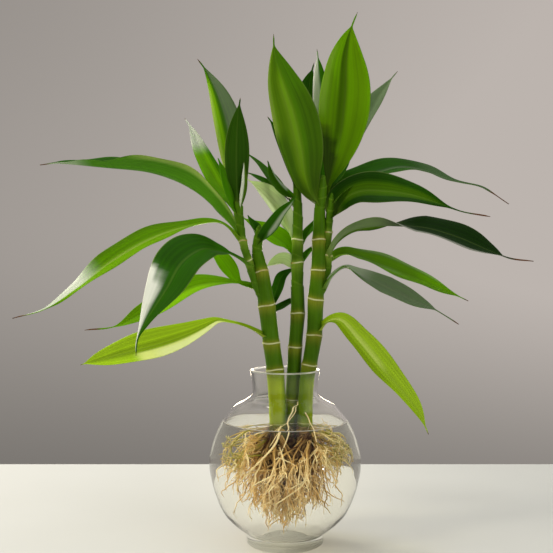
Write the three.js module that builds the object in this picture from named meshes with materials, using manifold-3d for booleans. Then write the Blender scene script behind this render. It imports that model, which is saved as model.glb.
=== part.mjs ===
// Lucky bamboo: three cut canes with leafy shoots, rooted in water in a round glass vase.
// Millimetres, +Z up, +Y away from the viewer. The origin is the middle of the vase's foot, on the table.
import * as THREE from 'three';
import { mergeVertices } from 'three/addons/utils/BufferGeometryUtils.js';
import Module from 'manifold-3d';

const wasm = await Module();
wasm.setup();

// Clearance between pieces that touch on the real plant
const GAP = 0.3;

// The vase, from its foot to its rim
const VASE = { radius: 60, centre: 60, foot: 30.5, neck: 26, rim: 27.6, height: 136, wall: 2.2, floor: 7 };
const VASE_SIDES = 32;
const OUTLINE_STEPS = 14;
const WATER_LEVEL = 95.5;

// The roots hang in this hollow of the water: [height, radius]
const HOLLOW = [
  [10.5, 0], [11.5, 18], [20, 33], [40, 46], [60, 50], [76, 47], [88, 38], [WATER_LEVEL, 34],
];

// Canes: [x, y, height, radius] from the cut foot up, and the heights of their ring scars
const STEM_SIDES = 12;
const RING_PROUD = 0.7;
const RING_HALF = 1.3;
const CANES = {
  left: {
    line: [[-6, -1, 63, 6.8], [-5.6, -1, 95, 6.9], [-7.9, -1, 136, 7], [-10.9, -1, 158, 6.7],
      [-14.6, -1, 188, 6.8], [-18.8, -1, 214.5, 5.7], [-22.3, -1, 230.4, 4.6]],
    scars: [92, 136.5, 158, 188, 214.5],
  },
  middle: {
    line: [[4, 8, 66, 5.9], [5, 7, 95, 5.9], [7.2, 5, 135, 5.8], [8.2, 5, 155, 5.6],
      [10.2, 5, 181, 5.7], [9.9, 5, 203.5, 5.4]],
    scars: [90, 111.5, 154.5, 181],
  },
  right: {
    line: [[15.5, -2.5, 60, 6], [15.8, -2.5, 95, 6], [16.7, -2.5, 124, 5.9], [18.4, -2.5, 136, 5.9],
      [23, -2.5, 164, 6.3], [24.3, -2.5, 192.5, 6.3], [26.5, -2.5, 216, 6], [27, -2.5, 239, 5.6],
      [27.4, -2.5, 266, 4.4]],
    scars: [94, 141, 164, 192.5, 216, 239.5],
  },
};

// Shoots and rolled sheaths, lined the same way; they carry the leaves
const SHOOTS = {
  shoot_left: {
    line: [[-19, -3, 193, 2.2], [-23, -3.3, 203, 2.9], [-28, -3, 220, 3.4], [-33.3, -3, 238, 3.1],
      [-35.7, -3, 252, 3.6], [-37.2, -3, 265, 4.1], [-38, -3, 274, 2.2]],
    scars: [223, 238.5],
  },
  sheath_left: {
    line: [[-22.3, -1, 229, 4.3], [-21.7, -1.4, 238, 4.1], [-20.8, -2, 246, 3], [-20.4, -2.2, 251, 1.4]],
    scars: [],
  },
  shoot_middle: {
    line: [[9.9, 5, 202, 5], [10, 5, 222, 4.9], [10.1, 5, 240, 4.4], [10.3, 5, 259, 4.1],
      [9.6, 5, 279, 3.3], [8.2, 5, 290, 1.8]],
    scars: [221.5, 240],
  },
  sheath_right: {
    line: [[27.4, -2.5, 264, 4.3], [28.4, -2.5, 274, 4.8], [29.3, -2.5, 283, 3.9], [30, -2.5, 291, 1.8]],
    scars: [],
  },
  shoot_right: {
    line: [[27.5, -3, 195, 2.4], [30.6, -3, 203, 3], [33.3, -3, 214, 3.2], [33.9, -3, 226, 3.3],
      [33.7, -3, 240, 3.2], [35.2, -3, 259, 3.2], [36.4, -3, 271, 2.6], [37.2, -3, 277, 1.3]],
    scars: [227, 246],
  },
};

// Leaf tissue, seen against the light and in the shade
const GREEN = { deep: '#1f4a0c', mid: '#2f6b10', bright: '#5f9a12', lime: '#86b51c', pale: '#a9c488' };

// Leaves. path: the midrib from its foot, [x, y, z]. width: at the belly. face: the way the upper
// face looks, from the foot to the tip. belly: where along the broad part the blade is widest.
// broad: the shares of the midrib between which the blade is broad. channel: how far the blade
// folds up on either side of the midrib.
const LEAVES = {
  leaf_left_high_sweep: {
    path: [[-34.5, -2, 243], [-52, 6, 264.5], [-69, 14, 281.5], [-88, 19, 293], [-112, 24, 301.5],
      [-150, 33, 305.5], [-190, 42, 307], [-208, 46, 305.5]],
    face: [[0.5, 0.7, 0.4], [0.3, 0.45, 0.75], [0, -0.2, 1], [0, -0.35, 0.95]],
    width: 32, belly: 0.53, broad: [0, 0.93], channel: 0.38, tint: 'deep',
  },
  leaf_left_low_sweep: {
    path: [[-33.5, -3, 238], [-50, -9, 253], [-76, -17, 250.5], [-104, -26, 240.5],
      [-132, -35, 223], [-157, -42, 202], [-177, -47, 187], [-200, -53, 180]],
    face: [[-0.1, -0.25, 0.95], [-0.2, -0.65, 0.75], [-0.4, -0.6, 0.7]],
    width: 27, belly: 0.47, broad: [0.1, 0.88], tint: 'bright',
  },
  leaf_left_drooping: {
    path: [[-26, -4, 218.5], [-35.5, -12, 225], [-48.5, -23, 231], [-62, -36, 233.5],
      [-76.5, -52, 223], [-86.5, -68, 202], [-98, -80, 180], [-103, -86, 167],
      [-103.5, -89, 156]],
    face: [[-0.2, -0.5, 0.8], [-0.15, -0.85, 0.55], [-0.35, -0.9, 0.3]],
    width: 39, belly: 0.38, broad: [0.15, 0.93], tint: 'deep',
  },
  leaf_left_curl: {
    path: [[-22.5, -2, 201], [-36, 2, 206], [-44, 4, 217], [-51.5, 6, 226.5], [-61, 6, 234.5]],
    face: [[0, -0.7, 0.7], [-0.6, -0.6, 0.4]],
    width: 13, belly: 0.5, broad: [0.25, 1], tint: 'bright',
  },
  leaf_left_back_sweep: {
    path: [[-18, 1, 196.5], [-28, 6, 204], [-39, 10, 206], [-65, 17.5, 205.5], [-79.5, 22, 201.5],
      [-103.5, 30, 188], [-121, 34, 179.5], [-143, 40, 168.5], [-170, 46, 165]],
    face: [[0, -0.5, 0.85], [0, -0.7, 0.7], [0, -0.7, 0.7]],
    width: 27, belly: 0.47, broad: [0.16, 0.85], tint: 'bright',
  },
  leaf_left_lowest: {
    path: [[-13.5, -3, 162], [-27.5, -10, 170.5], [-41.5, -17, 175.5], [-52.5, -22, 177],
      [-63, -27, 172.5], [-73.5, -32, 168], [-90, -39, 162.5], [-115, -48, 156],
      [-149, -58, 146.5]],
    face: [[0, -0.5, 0.85], [0, -0.8, 0.6], [-0.1, -0.75, 0.65]],
    width: 27, belly: 0.56, broad: [0.25, 0.98], tint: 'lime',
  },
  leaf_left_spear: {
    path: [[-36.5, -1, 256], [-46, 9, 275], [-56.5, 15, 290], [-69, 22, 314], [-78, 27, 334],
      [-83, 29, 342]],
    face: [[0.5, -0.8, 0.3], [0.4, -0.85, 0.3]],
    width: 18, belly: 0.5, tint: 'mid',
  },
  leaf_left_bud: {
    path: [[-36.5, -4, 259], [-43, -6, 279], [-53, -7, 304]],
    face: [[0.3, -0.9, 0.2]],
    width: 11, belly: 0.45, tint: 'mid',
  },
  leaf_left_tall_back: {
    path: [[-37, -1.5, 265], [-39, 6, 296], [-44.5, 10, 328], [-53.5, 12, 357], [-65, 13, 379],
      [-71, 13, 387]],
    face: [[0.2, -0.95, 0.1]],
    width: 24, belly: 0.48, tint: 'mid',
  },
  leaf_left_tall_front: {
    path: [[-37.4, -4, 266], [-38, -9, 298], [-37.5, -12, 321], [-36.5, -13, 338], [-35, -13, 350]],
    face: [[0.1, 0.95, 0.1]],
    width: 19.5, belly: 0.5, tint: 'deep',
  },
  leaf_left_rolled: {
    path: [[-35.5, -5.2, 264], [-32, -10, 282], [-32, -12, 300]],
    face: [[-0.2, 0.9, 0.1]],
    width: 5, belly: 0.5, tint: 'mid',
  },
  leaf_top_left_front: {
    path: [[-20.9, -3, 237], [-15.5, -9, 244], [-10.5, -13, 250], [-3, -17, 260], [4, -19, 267],
      [9, -20, 274]],
    face: [[-0.35, -0.85, 0.35]],
    width: 12, belly: 0.45, tint: 'deep',
  },
  leaf_top_left_back: {
    path: [[-21.4, -0.5, 242], [-25, 5, 252], [-30, 9, 260]],
    face: [[0.5, -0.7, 0.4]],
    width: 9, belly: 0.5, tint: 'deep',
  },
  leaf_left_inner_arch: {
    path: [[-12, 2, 185], [-6, 9, 202], [-2.5, 13, 211], [4, 17, 215.5], [12, 20, 218]],
    face: [[0.3, -0.6, 0.7]],
    width: 9, belly: 0.5, tint: 'deep',
  },
  leaf_left_inner_small: {
    path: [[-11, 1, 181], [-4, 10, 186], [5, 15, 191], [13, 18, 195]],
    face: [[0, -0.7, 0.7]],
    width: 7, belly: 0.5, tint: 'deep',
  },
  leaf_middle_pale: {
    path: [[7.5, 5.5, 240], [0, 11, 259], [-9.5, 17, 272.5], [-20.5, 24, 283.5], [-32, 29, 292]],
    face: [[0.3, 0.6, 0.6]],
    width: 24, belly: 0.5, tint: 'pale',
  },
  leaf_middle_arch: {
    path: [[9.5, 6, 264], [5, 13, 272], [-1.5, 19, 279.5], [-11, 26, 286.5], [-22.5, 34, 293.5],
      [-35, 42, 300]],
    face: [[0.3, -0.5, 0.8]],
    width: 10, belly: 0.5, tint: 'deep',
  },
  leaf_middle_back: {
    path: [[9.5, 6.5, 270], [-3, 22, 282.5], [-13.5, 36, 296.5], [-22.5, 46, 308],
      [-33.5, 54, 317.5]],
    face: [[0.3, -0.6, 0.7]],
    width: 11, belly: 0.5, tint: 'mid',
  },
  leaf_middle_point: {
    path: [[8, 4, 272], [-2, 5, 279], [-9.5, 7, 289.5], [-14, 9, 304]],
    face: [[0.4, -0.8, 0.4]],
    width: 9, belly: 0.45, tint: 'mid',
  },
  leaf_middle_short_pale: {
    path: [[7.5, 6, 218], [0, 9, 223.5], [-7, 12, 222.5], [-15, 14, 219]],
    face: [[0, 0.5, 0.8]],
    width: 15, belly: 0.5, tint: 'pale',
  },
  leaf_middle_bright: {
    path: [[8, 7.5, 226], [3, 13, 236], [-4, 17, 242], [-14, 20, 248], [-27, 24, 255],
      [-36, 27, 260]],
    face: [[0.2, -0.8, 0.5]],
    width: 18, belly: 0.45, tint: 'bright',
  },
  leaf_middle_right: {
    path: [[11.5, 6.5, 233], [17, 12, 244], [23, 16, 253], [30, 19, 263]],
    face: [[-0.5, -0.6, 0.5]],
    width: 9, belly: 0.5, tint: 'mid',
  },
  leaf_middle_right_low: {
    path: [[11.5, 6, 217], [16, 10, 227], [22, 13, 233], [31, 15, 236]],
    face: [[-0.3, -0.6, 0.7]],
    width: 7, belly: 0.5, tint: 'mid',
  },
  leaf_middle_tall: {
    path: [[9, 6, 281], [14, 14, 313], [18, 18, 346], [21, 20, 373], [24, 21, 386]],
    face: [[0, -0.95, 0.1]],
    width: 27, belly: 0.55, tint: 'deep',
  },
  leaf_middle_rising: {
    path: [[8.4, 4, 282], [4.5, 5, 299], [-2, 6, 318], [-10, 7, 333], [-14, 7, 339]],
    face: [[0.4, -0.85, 0.2]],
    width: 11, belly: 0.5, tint: 'deep',
  },
  leaf_right_tall_front: {
    path: [[27, -4.5, 267], [20.5, -7.5, 276], [16, -10, 290], [13, -16, 308.5], [6.5, -21, 336],
      [-3, -25, 363], [-8.5, -28, 384], [-9, -29, 395]],
    face: [[0.15, 0.95, 0.15]],
    width: 36, belly: 0.5, tint: 'mid',
  },
  leaf_right_tall_back: {
    path: [[31, -2, 273], [40, 1, 303], [45.5, 4, 331], [48.5, 5, 360], [49.5, 5, 388],
      [53, 4, 409], [58, 4, 422]],
    face: [[0, -0.98, 0.1]],
    width: 41, belly: 0.53, broad: [0.06, 0.92], tint: 'bright',
  },
  leaf_right_short: {
    path: [[30, 0, 275], [40, 9, 292], [49, 13, 304], [55, 15, 315]],
    face: [[-0.4, -0.8, 0.4]],
    width: 14, belly: 0.5, tint: 'deep',
  },
  leaf_right_up_back: {
    path: [[29, 0.5, 278], [43, 19, 306], [61, 29, 336], [78, 38, 362], [96, 46, 385]],
    face: [[-0.5, -0.7, 0.4]],
    width: 23, belly: 0.55, tint: 'mid',
  },
  leaf_right_rolled: {
    path: [[29, -0.5, 276], [30, 8, 304], [30, 13, 345], [28, 14, 373], [26, 13, 395]],
    face: [[0, -0.9, 0.1]],
    width: 14, belly: 0.62, tint: 'deep',
  },
  leaf_right_high_sweep: {
    path: [[36.5, -2, 267], [44.5, 2, 281], [55, 6, 289.5], [75, 13, 297], [96, 21, 302],
      [118, 28, 299], [142, 34, 291], [167, 39, 285.5], [190, 43, 272]],
    face: [[-0.2, -0.4, 0.85], [0, -0.55, 0.85], [0.3, -0.5, 0.8]],
    width: 30, belly: 0.32, broad: [0, 0.84], tint: 'deep',
  },
  leaf_right_second_sweep: {
    path: [[35.8, -4, 257], [46, -9, 272.5], [58, -13, 278.5], [75, -20, 278], [98, -29, 273],
      [120, -36, 264], [132.5, -39.5, 259], [152, -44, 255]],
    face: [[-0.2, -0.75, 0.6], [0, -0.85, 0.55]],
    width: 32, belly: 0.36, broad: [0, 0.79], tint: 'deep',
  },
  leaf_right_twisted: {
    path: [[34, -5, 226], [40.5, -12, 238.5], [51.5, -19, 247], [68, -26, 250.5], [81.5, -32, 251],
      [104, -42, 248.5], [126, -52, 241], [147, -61, 230], [160.5, -66, 223.5],
      [176, -70, 221.5]],
    face: [[-0.2, 0.6, 0.75], [0, 0.6, 0.8], [0.1, -0.6, 0.8], [0.2, -0.75, 0.6], [0.3, -0.6, 0.7]],
    width: 26, belly: 0.66, broad: [0, 0.87], tint: 'deep',
  },
  leaf_right_bright: {
    path: [[34.2, -1.2, 223], [46, 4, 229.5], [59, 9, 228], [75, 16, 223], [100, 25, 214],
      [125, 33, 203.5], [155, 40, 190]],
    face: [[-0.3, -0.5, 0.8], [0, -0.6, 0.8], [0.3, -0.55, 0.75]],
    width: 28, belly: 0.48, broad: [0, 0.95], tint: 'bright',
  },
  leaf_right_grey: {
    path: [[30.5, -4, 201], [36.5, -10, 211.5], [46.5, -13, 218.5], [56.5, -17, 214], [69.5, -23, 207.5],
      [84, -28, 200], [99, -33, 192], [111, -37, 186.5], [129, -42, 175]],
    face: [[-0.3, -0.5, 0.8], [0, -0.1, 1], [0.1, -0.8, 0.6], [0.2, -0.7, 0.6], [0.3, -0.6, 0.7]],
    width: 18, belly: 0.58, broad: [0.04, 0.84], tint: 'mid',
  },
  leaf_right_hanging: {
    path: [[25, -4, 165], [32.5, -10, 175.5], [42.5, -16, 177.5], [56, -23, 164], [72.5, -32, 144],
      [88, -39, 125.5], [98.5, -43, 110.5], [105.5, -47, 94]],
    face: [[-0.2, -0.5, 0.85], [0.45, -0.7, 0.5], [0.6, -0.7, 0.3]],
    width: 25, belly: 0.5, broad: [0.04, 0.96], tint: 'lime',
  },
};
const BLADE = {
  rib: 0.45, edge: 0.32, foot: 5, tail: 1.1, channel: 0.22, fullness: 2, broad: [0, 0.94],
  section: 16, steps: [6, 14], wide: 18,
};

// Roots: each cane has a woody crown of them round its foot, and fine strands that spread and fall
const ROOTS = { strands: 23, sides: 3, steps: 6, thick: 0.95, thin: 0.5, clear: 2.5, seed: 11 };
const ROOT_CROWN = [[-20, 2], [-12, 6.5], [-3, 9], [7, 8.4], [20, 7.4]];
const ROOT_MEETING = [4.5, 1.5];
const ROOT_SECTORS = { left: [143, 267], middle: [37, 143], right: [-93, 37] };

// Shared helpers

/** Piecewise linear value at `place` from stops [place, value], in rising order of place. */
function valueAt(stops, place) {
  const next = stops.findIndex(([stop]) => stop >= place);
  if (next <= 0) return stops[next === 0 ? 0 : stops.length - 1][1];
  const [[from, low], [to, high]] = [stops[next - 1], stops[next]];
  return THREE.MathUtils.mapLinear(place, from, to, low, high);
}

/** A smooth line through points whose first three numbers are x, y and z. */
function smoothLine(points) {
  const corners = points.map(([x, y, z]) => new THREE.Vector3(x, y, z));
  return new THREE.CatmullRomCurve3(corners, false, 'centripetal');
}

/** A point on a ring of `radius` about a centre [x, y], at a heading in degrees. */
function around([x, y], radius, heading) {
  const turn = THREE.MathUtils.degToRad(heading);
  return [x + radius * Math.cos(turn), y + radius * Math.sin(turn)];
}

/** Random numbers from 0 to 1 that are the same on every run. */
function seededRandom(seed) {
  let state = seed;
  return () => {
    state = (state * 1664525 + 1013904223) % 4294967296;
    return state / 4294967296;
  };
}

/** A closed skin over rings of points that turn anticlockwise about the way the rings run. From the
 *  point `mirrored` on, the squares are split the other way, so that both faces of a blade match. */
function loft(rings, mirrored = Infinity) {
  const count = rings[0].length;
  const index = [];
  for (let ring = 0; ring + 1 < rings.length; ring++) {
    for (let corner = 0; corner < count; corner++) {
      const a = ring * count + corner;
      const b = ring * count + (corner + 1) % count;
      index.push(...(corner < mirrored ? [a, b, b + count, a, b + count, a + count]
        : [a, b, a + count, b, b + count, a + count]));
    }
  }
  const last = (rings.length - 1) * count;
  for (let near = 0, far = count - 1; near + 1 <= far - 1; near++, far--) {
    index.push(near + 1, near, far, last + near, last + near + 1, last + far);
    if (near + 1 < far - 1) {
      index.push(near + 1, far, far - 1, last + near + 1, last + far - 1, last + far);
    }
  }
  const geometry = new THREE.BufferGeometry().setFromPoints(rings.flat());
  geometry.setIndex(index);
  return geometry;
}

/** The geometry as a solid for cutting and joining. */
function solidOf(geometry) {
  const bare = geometry.clone();
  bare.deleteAttribute('normal');
  bare.deleteAttribute('uv');
  const merged = mergeVertices(bare, 1e-4);
  return new wasm.Manifold(new wasm.Mesh({
    numProp: 3,
    vertProperties: new Float32Array(merged.getAttribute('position').array),
    triVerts: new Uint32Array(merged.getIndex().array),
  }));
}

/** A cut or joined solid as a geometry again. */
function geometryOf(solid) {
  const { vertProperties, triVerts } = solid.getMesh();
  const geometry = new THREE.BufferGeometry();
  geometry.setAttribute('position', new THREE.BufferAttribute(vertProperties, 3));
  geometry.setIndex(new THREE.BufferAttribute(triVerts, 1));
  return geometry;
}

/** The biggest of the separate bodies in a solid, without the scraps that a cut leaves. */
function biggestBody(solid) {
  return solid.decompose().reduce((best, body) => (body.volume() > best.volume() ? body : best));
}

// The vase and its water, both turned about the upright axis

/** The outer outline of the glass, from the edge of the foot to the rim. */
function glassOutline() {
  const { radius, centre, foot, neck, rim, height } = VASE;
  const globe = (level) => Math.sqrt(radius ** 2 - (level - centre) ** 2);
  return new THREE.SplineCurve([
    new THREE.Vector2(foot, 8), new THREE.Vector2(globe(26), 26), new THREE.Vector2(radius, centre),
    new THREE.Vector2(globe(88) + 1.2, 88), new THREE.Vector2(42, 106),
    new THREE.Vector2(31, 113), new THREE.Vector2(neck, 119), new THREE.Vector2(rim, height),
  ]);
}

/** The outline moved inwards by the wall, which thickens towards the floor. */
function innerOutline(extra = 0) {
  const outline = glassOutline();
  const floorEdge = 0.05;
  const thickening = [[0, 2.5], [45, 0]];
  const points = [];
  for (let step = OUTLINE_STEPS; step >= 0; step--) {
    const place = THREE.MathUtils.lerp(floorEdge, 1, step / OUTLINE_STEPS);
    const point = outline.getPoint(place);
    const along = outline.getTangent(place);
    const wall = VASE.wall + extra + valueAt(thickening, point.y);
    points.push(new THREE.Vector2(point.x - along.y * wall, point.y + along.x * wall));
  }
  points.push(new THREE.Vector2(20, VASE.floor + 1 + extra), new THREE.Vector2(0, VASE.floor + extra));
  return points;
}

/** A profile of points, radius and height, turned about the Z axis. */
function turned(points) {
  return new THREE.LatheGeometry(points, VASE_SIDES).rotateX(Math.PI / 2);
}

/** The glass: up the outside from the foot to the lip, and down the inside to the floor. */
function vase() {
  const bevel = 1.5;
  const lip = new THREE.Vector2(VASE.rim - VASE.wall / 2, VASE.height + 0.7);
  return turned([
    new THREE.Vector2(0, 0), new THREE.Vector2(VASE.foot - bevel, 0), new THREE.Vector2(VASE.foot, bevel),
    ...glassOutline().getPoints(OUTLINE_STEPS), lip, ...innerOutline(),
  ]);
}

/** The water: its skin along the glass, its level top, and the hollow that the roots hang in. */
function water() {
  const inside = innerOutline(GAP).reverse();
  const wet = inside.filter((point) => point.y < WATER_LEVEL - 1);
  const shore = valueAt(inside.map((point) => [point.y, point.x]), WATER_LEVEL);
  const hollow = HOLLOW.toReversed().map(([height, radius]) => new THREE.Vector2(radius, height));
  return turned([...wet, new THREE.Vector2(shore, WATER_LEVEL), ...hollow]);
}

// Canes, shoots and sheaths

/** Where along a rising curve, from 0 to 1, it reaches a height. */
function placeAtHeight(curve, height) {
  let [low, high] = [0, 1];
  for (let halving = 0; halving < 24; halving++) {
    const middle = (low + high) / 2;
    if (curve.getPoint(middle).z < height) low = middle;
    else high = middle;
  }
  return low;
}

/** A round stem along its line, swollen at its ring scars, thicker all round by `grow`. */
function stem({ line, scars }, grow = 0) {
  const curve = smoothLine(line);
  const bottom = line[0][2];
  const top = line.at(-1)[2];
  const girth = line.map(([, , height, radius]) => [height, radius]);
  const plain = line.map(([, , height]) => height)
    .filter((height) => scars.every((scar) => Math.abs(height - scar) > 2 * RING_HALF));
  const swollen = scars.flatMap((scar) => [scar - RING_HALF, scar, scar + RING_HALF]);
  const heights = [...plain, ...swollen].sort((a, b) => a - b);
  return loft(heights.map((height) => {
    const place = placeAtHeight(curve, height);
    const along = curve.getTangent(place);
    const longer = (height === top ? grow : 0) - (height === bottom ? grow : 0);
    const centre = curve.getPoint(place).addScaledVector(along, longer);
    const across = new THREE.Vector3(1, 0, 0).addScaledVector(along, -along.x).normalize();
    const behind = along.clone().cross(across);
    const radius = valueAt(girth, height) + grow + (scars.includes(height) ? RING_PROUD : 0);
    const ring = [];
    for (let side = 0; side < STEM_SIDES; side++) {
      const [out, back] = around([0, 0], radius, side / STEM_SIDES * 360);
      ring.push(centre.clone().addScaledVector(across, out).addScaledVector(behind, back));
    }
    return ring;
  }));
}

// Leaves

/** A channelled blade along its midrib, pointed at the tip, thicker and wider by `grow` all round. */
function blade({ path, width, face, belly, broad = BLADE.broad, channel = BLADE.channel }, grow = 0) {
  const curve = smoothLine(path);
  const steps = Math.round(THREE.MathUtils.clamp(curve.getLength() / BLADE.section, ...BLADE.steps));
  const halves = width > BLADE.wide ? [-1, -0.5, 0, 0.5, 1] : [-1, 0, 1];
  const rise = BLADE.fullness * belly;
  const fall = BLADE.fullness * (1 - belly);
  const peak = belly ** rise * (1 - belly) ** fall;
  const rings = [];
  for (let step = 0; step <= steps; step++) {
    const place = step / steps;
    const centre = curve.getPointAt(place);
    const along = curve.getTangentAt(place);
    const turn = place * (face.length - 1);
    const from = Math.min(Math.floor(turn), face.length - 1);
    const look = new THREE.Vector3(...face[from]);
    if (from + 1 < face.length) look.lerp(new THREE.Vector3(...face[from + 1]), turn - from);
    const side = along.clone().cross(look).normalize();
    const up = side.clone().cross(along);
    const share = THREE.MathUtils.clamp((place - broad[0]) / (broad[1] - broad[0]), 0, 1);
    const swell = share ** rise * (1 - share) ** fall / peak;
    const stalk = THREE.MathUtils.mapLinear(place, 0, 1, Math.min(BLADE.foot, width / 2), BLADE.tail);
    const half = Math.hypot(width * swell, stalk) / 2;
    const spot = (across, skin) => {
      const lift = (2 * Math.abs(across) - 1) * half * channel;
      const thick = grow + THREE.MathUtils.lerp(BLADE.rib, BLADE.edge, Math.abs(across));
      return centre.clone().addScaledVector(side, across * (half + grow))
        .addScaledVector(up, lift + skin * thick);
    };
    const upper = halves.map((across) => spot(across, 1));
    const lower = halves.map((across) => spot(across, -1));
    rings.push([...upper, ...lower.reverse()]);
  }
  return loft(rings, halves.length);
}

// Roots

/** One strand from its start outwards, then down to its end, thinning as it goes. */
function rootStrand(points) {
  const curve = smoothLine(points);
  const { normals, binormals } = curve.computeFrenetFrames(ROOTS.steps);
  return loft(normals.map((normal, step) => {
    const place = step / ROOTS.steps;
    const radius = THREE.MathUtils.lerp(ROOTS.thick, ROOTS.thin, place);
    const ring = [];
    for (let side = 0; side < ROOTS.sides; side++) {
      const [out, behind] = around([0, 0], radius, side / ROOTS.sides * 360);
      ring.push(curve.getPointAt(place).addScaledVector(normal, out)
        .addScaledVector(binormals[step], behind));
    }
    return ring;
  }));
}

/** The slice of the bowl that one cane's roots keep to, a little clear of the next slice. */
function rootSlice([from, to]) {
  const clear = GAP / Math.sin(THREE.MathUtils.degToRad(to - from) / 2);
  const slice = new THREE.Shape();
  slice.moveTo(0, 0);
  slice.absarc(0, 0, VASE.radius, THREE.MathUtils.degToRad(from), THREE.MathUtils.degToRad(to), false);
  slice.lineTo(0, 0);
  const options = { depth: VASE.height, bevelEnabled: false, curveSegments: 6 };
  return new THREE.ExtrudeGeometry(slice, options)
    .translate(...around(ROOT_MEETING, clear, (from + to) / 2), 0);
}

/** All the roots of one cane, grown together in the crown round its foot. */
function rootBunch(cane, sector, random) {
  const between = (low, high) => low + (high - low) * random();
  const [x, y, foot] = cane.line[0];
  const crown = { line: ROOT_CROWN.map(([rise, radius]) => [x, y, foot + rise, radius]), scars: [] };
  let bunch = solidOf(stem(crown));
  for (let strand = 0; strand < ROOTS.strands; strand++) {
    const heading = THREE.MathUtils.lerp(...sector, (strand + between(0.1, 0.9)) / ROOTS.strands);
    const reach = between(0.03, 1) ** 0.5;
    const rise = between(-9, 18);
    const height = foot + rise;
    const floor = THREE.MathUtils.lerp(13, 29, reach ** 2) + between(0, 8);
    const hang = (spread, drop) => {
      const level = THREE.MathUtils.lerp(height, floor, drop);
      const room = (valueAt(HOLLOW, level) - ROOTS.clear) * spread * reach + between(-3, 1);
      return [...around([0, 0], Math.max(room, 2), heading + between(-5, 5)), level];
    };
    bunch = bunch.add(solidOf(rootStrand([
      [...around([x, y], valueAt(ROOT_CROWN, rise) - 1, heading), height],
      hang(0.55, 0.07), hang(0.88, 0.3), hang(1, 0.65), hang(0.95, 1),
    ])));
  }
  return bunch.intersect(solidOf(rootSlice(sector)));
}

// Assembly

const group = new THREE.Group();
const placed = [];

/** Adds a named piece to the plant. */
function add(name, geometry, color, roughness, extra = {}) {
  geometry.computeVertexNormals();
  const material = new THREE.MeshStandardMaterial({ color, roughness, metalness: 0, ...extra });
  const mesh = new THREE.Mesh(geometry, material);
  mesh.name = name;
  group.add(mesh);
}

/** Whether two boxes with a min and a max corner share any space. */
function boxesMeet(one, other) {
  return one.min.every((low, axis) => low < other.max[axis] && one.max[axis] > other.min[axis]);
}

/** Adds a plant piece, cut clear of every piece that was placed before it. */
function grow(name, build, spec, color, roughness) {
  let solid = solidOf(build(spec));
  const near = placed.filter((fat) => boxesMeet(fat.boundingBox(), solid.boundingBox()));
  near.forEach((fat) => {
    solid = solid.subtract(fat);
  });
  placed.push(solidOf(build(spec, GAP)));
  add(name, geometryOf(biggestBody(solid)), color, roughness);
}

add('vase', vase(), '#dfe9e4', 0.04, { transparent: true, opacity: 0.35 });
add('water', water(), '#cfdccf', 0.02, { transparent: true, opacity: 0.4 });
Object.entries(CANES).forEach(([side, spec]) => grow(`cane_${side}`, stem, spec, '#4c7f1c', 0.42));
Object.entries(SHOOTS).forEach(([name, spec]) => grow(name, stem, spec, '#5b9420', 0.45));
Object.entries(LEAVES).forEach(([name, spec]) => grow(name, blade, spec, GREEN[spec.tint], 0.4));
const random = seededRandom(ROOTS.seed);
Object.entries(ROOT_SECTORS).forEach(([side, sector]) => {
  const canes = placed.slice(0, Object.keys(CANES).length);
  const bunch = canes.reduce((rest, cane) => rest.subtract(cane), rootBunch(CANES[side], sector, random));
  add(`roots_${side}`, geometryOf(biggestBody(bunch)), '#c79f63', 0.8);
});

export default group;
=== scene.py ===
"""Lucky bamboo, rooted in water in a round glass vase: its looks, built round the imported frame.

The tables are in millimetres, in the frame's own axes: +Z up, +Y away from the viewer, and the
origin in the middle of the vase's foot. Lengths turn into metres where a mesh is made.
"""

from __future__ import annotations

import logging
import math
from dataclasses import dataclass, field, replace
from enum import Enum

import bpy
import numpy as np
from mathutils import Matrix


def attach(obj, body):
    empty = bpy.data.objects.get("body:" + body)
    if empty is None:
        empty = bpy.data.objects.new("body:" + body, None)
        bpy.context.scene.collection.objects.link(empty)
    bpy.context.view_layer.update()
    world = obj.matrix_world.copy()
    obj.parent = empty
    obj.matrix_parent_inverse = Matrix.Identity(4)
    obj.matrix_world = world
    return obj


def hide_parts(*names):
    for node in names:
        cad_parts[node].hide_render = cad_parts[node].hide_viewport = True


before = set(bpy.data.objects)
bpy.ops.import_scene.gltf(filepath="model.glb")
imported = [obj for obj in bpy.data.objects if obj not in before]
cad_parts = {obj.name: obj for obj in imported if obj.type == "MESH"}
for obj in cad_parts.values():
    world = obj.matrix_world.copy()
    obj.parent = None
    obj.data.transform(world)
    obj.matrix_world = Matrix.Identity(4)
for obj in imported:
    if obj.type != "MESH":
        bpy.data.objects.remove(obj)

MM = 0.001
TINY = 1e-9
BODY = "root"

Point = tuple[float, float, float]
Colour = tuple[float, float, float, float]

log = logging.getLogger("lucky_bamboo")


# Colours and shader maths


def colour(code: str) -> Colour:
    """A colour code as the numbers that shaders and lamps take.

    Args:
        code: the code, such as #4c7f1c.

    Returns:
        Linear red, green and blue, and an alpha of 1.
    """
    shares = [int(code[place : place + 2], 16) / 255 for place in (1, 3, 5)]
    linear = [s / 12.92 if s <= 0.04045 else ((s + 0.055) / 1.055) ** 2.4 for s in shares]
    return (linear[0], linear[1], linear[2], 1.0)


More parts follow.
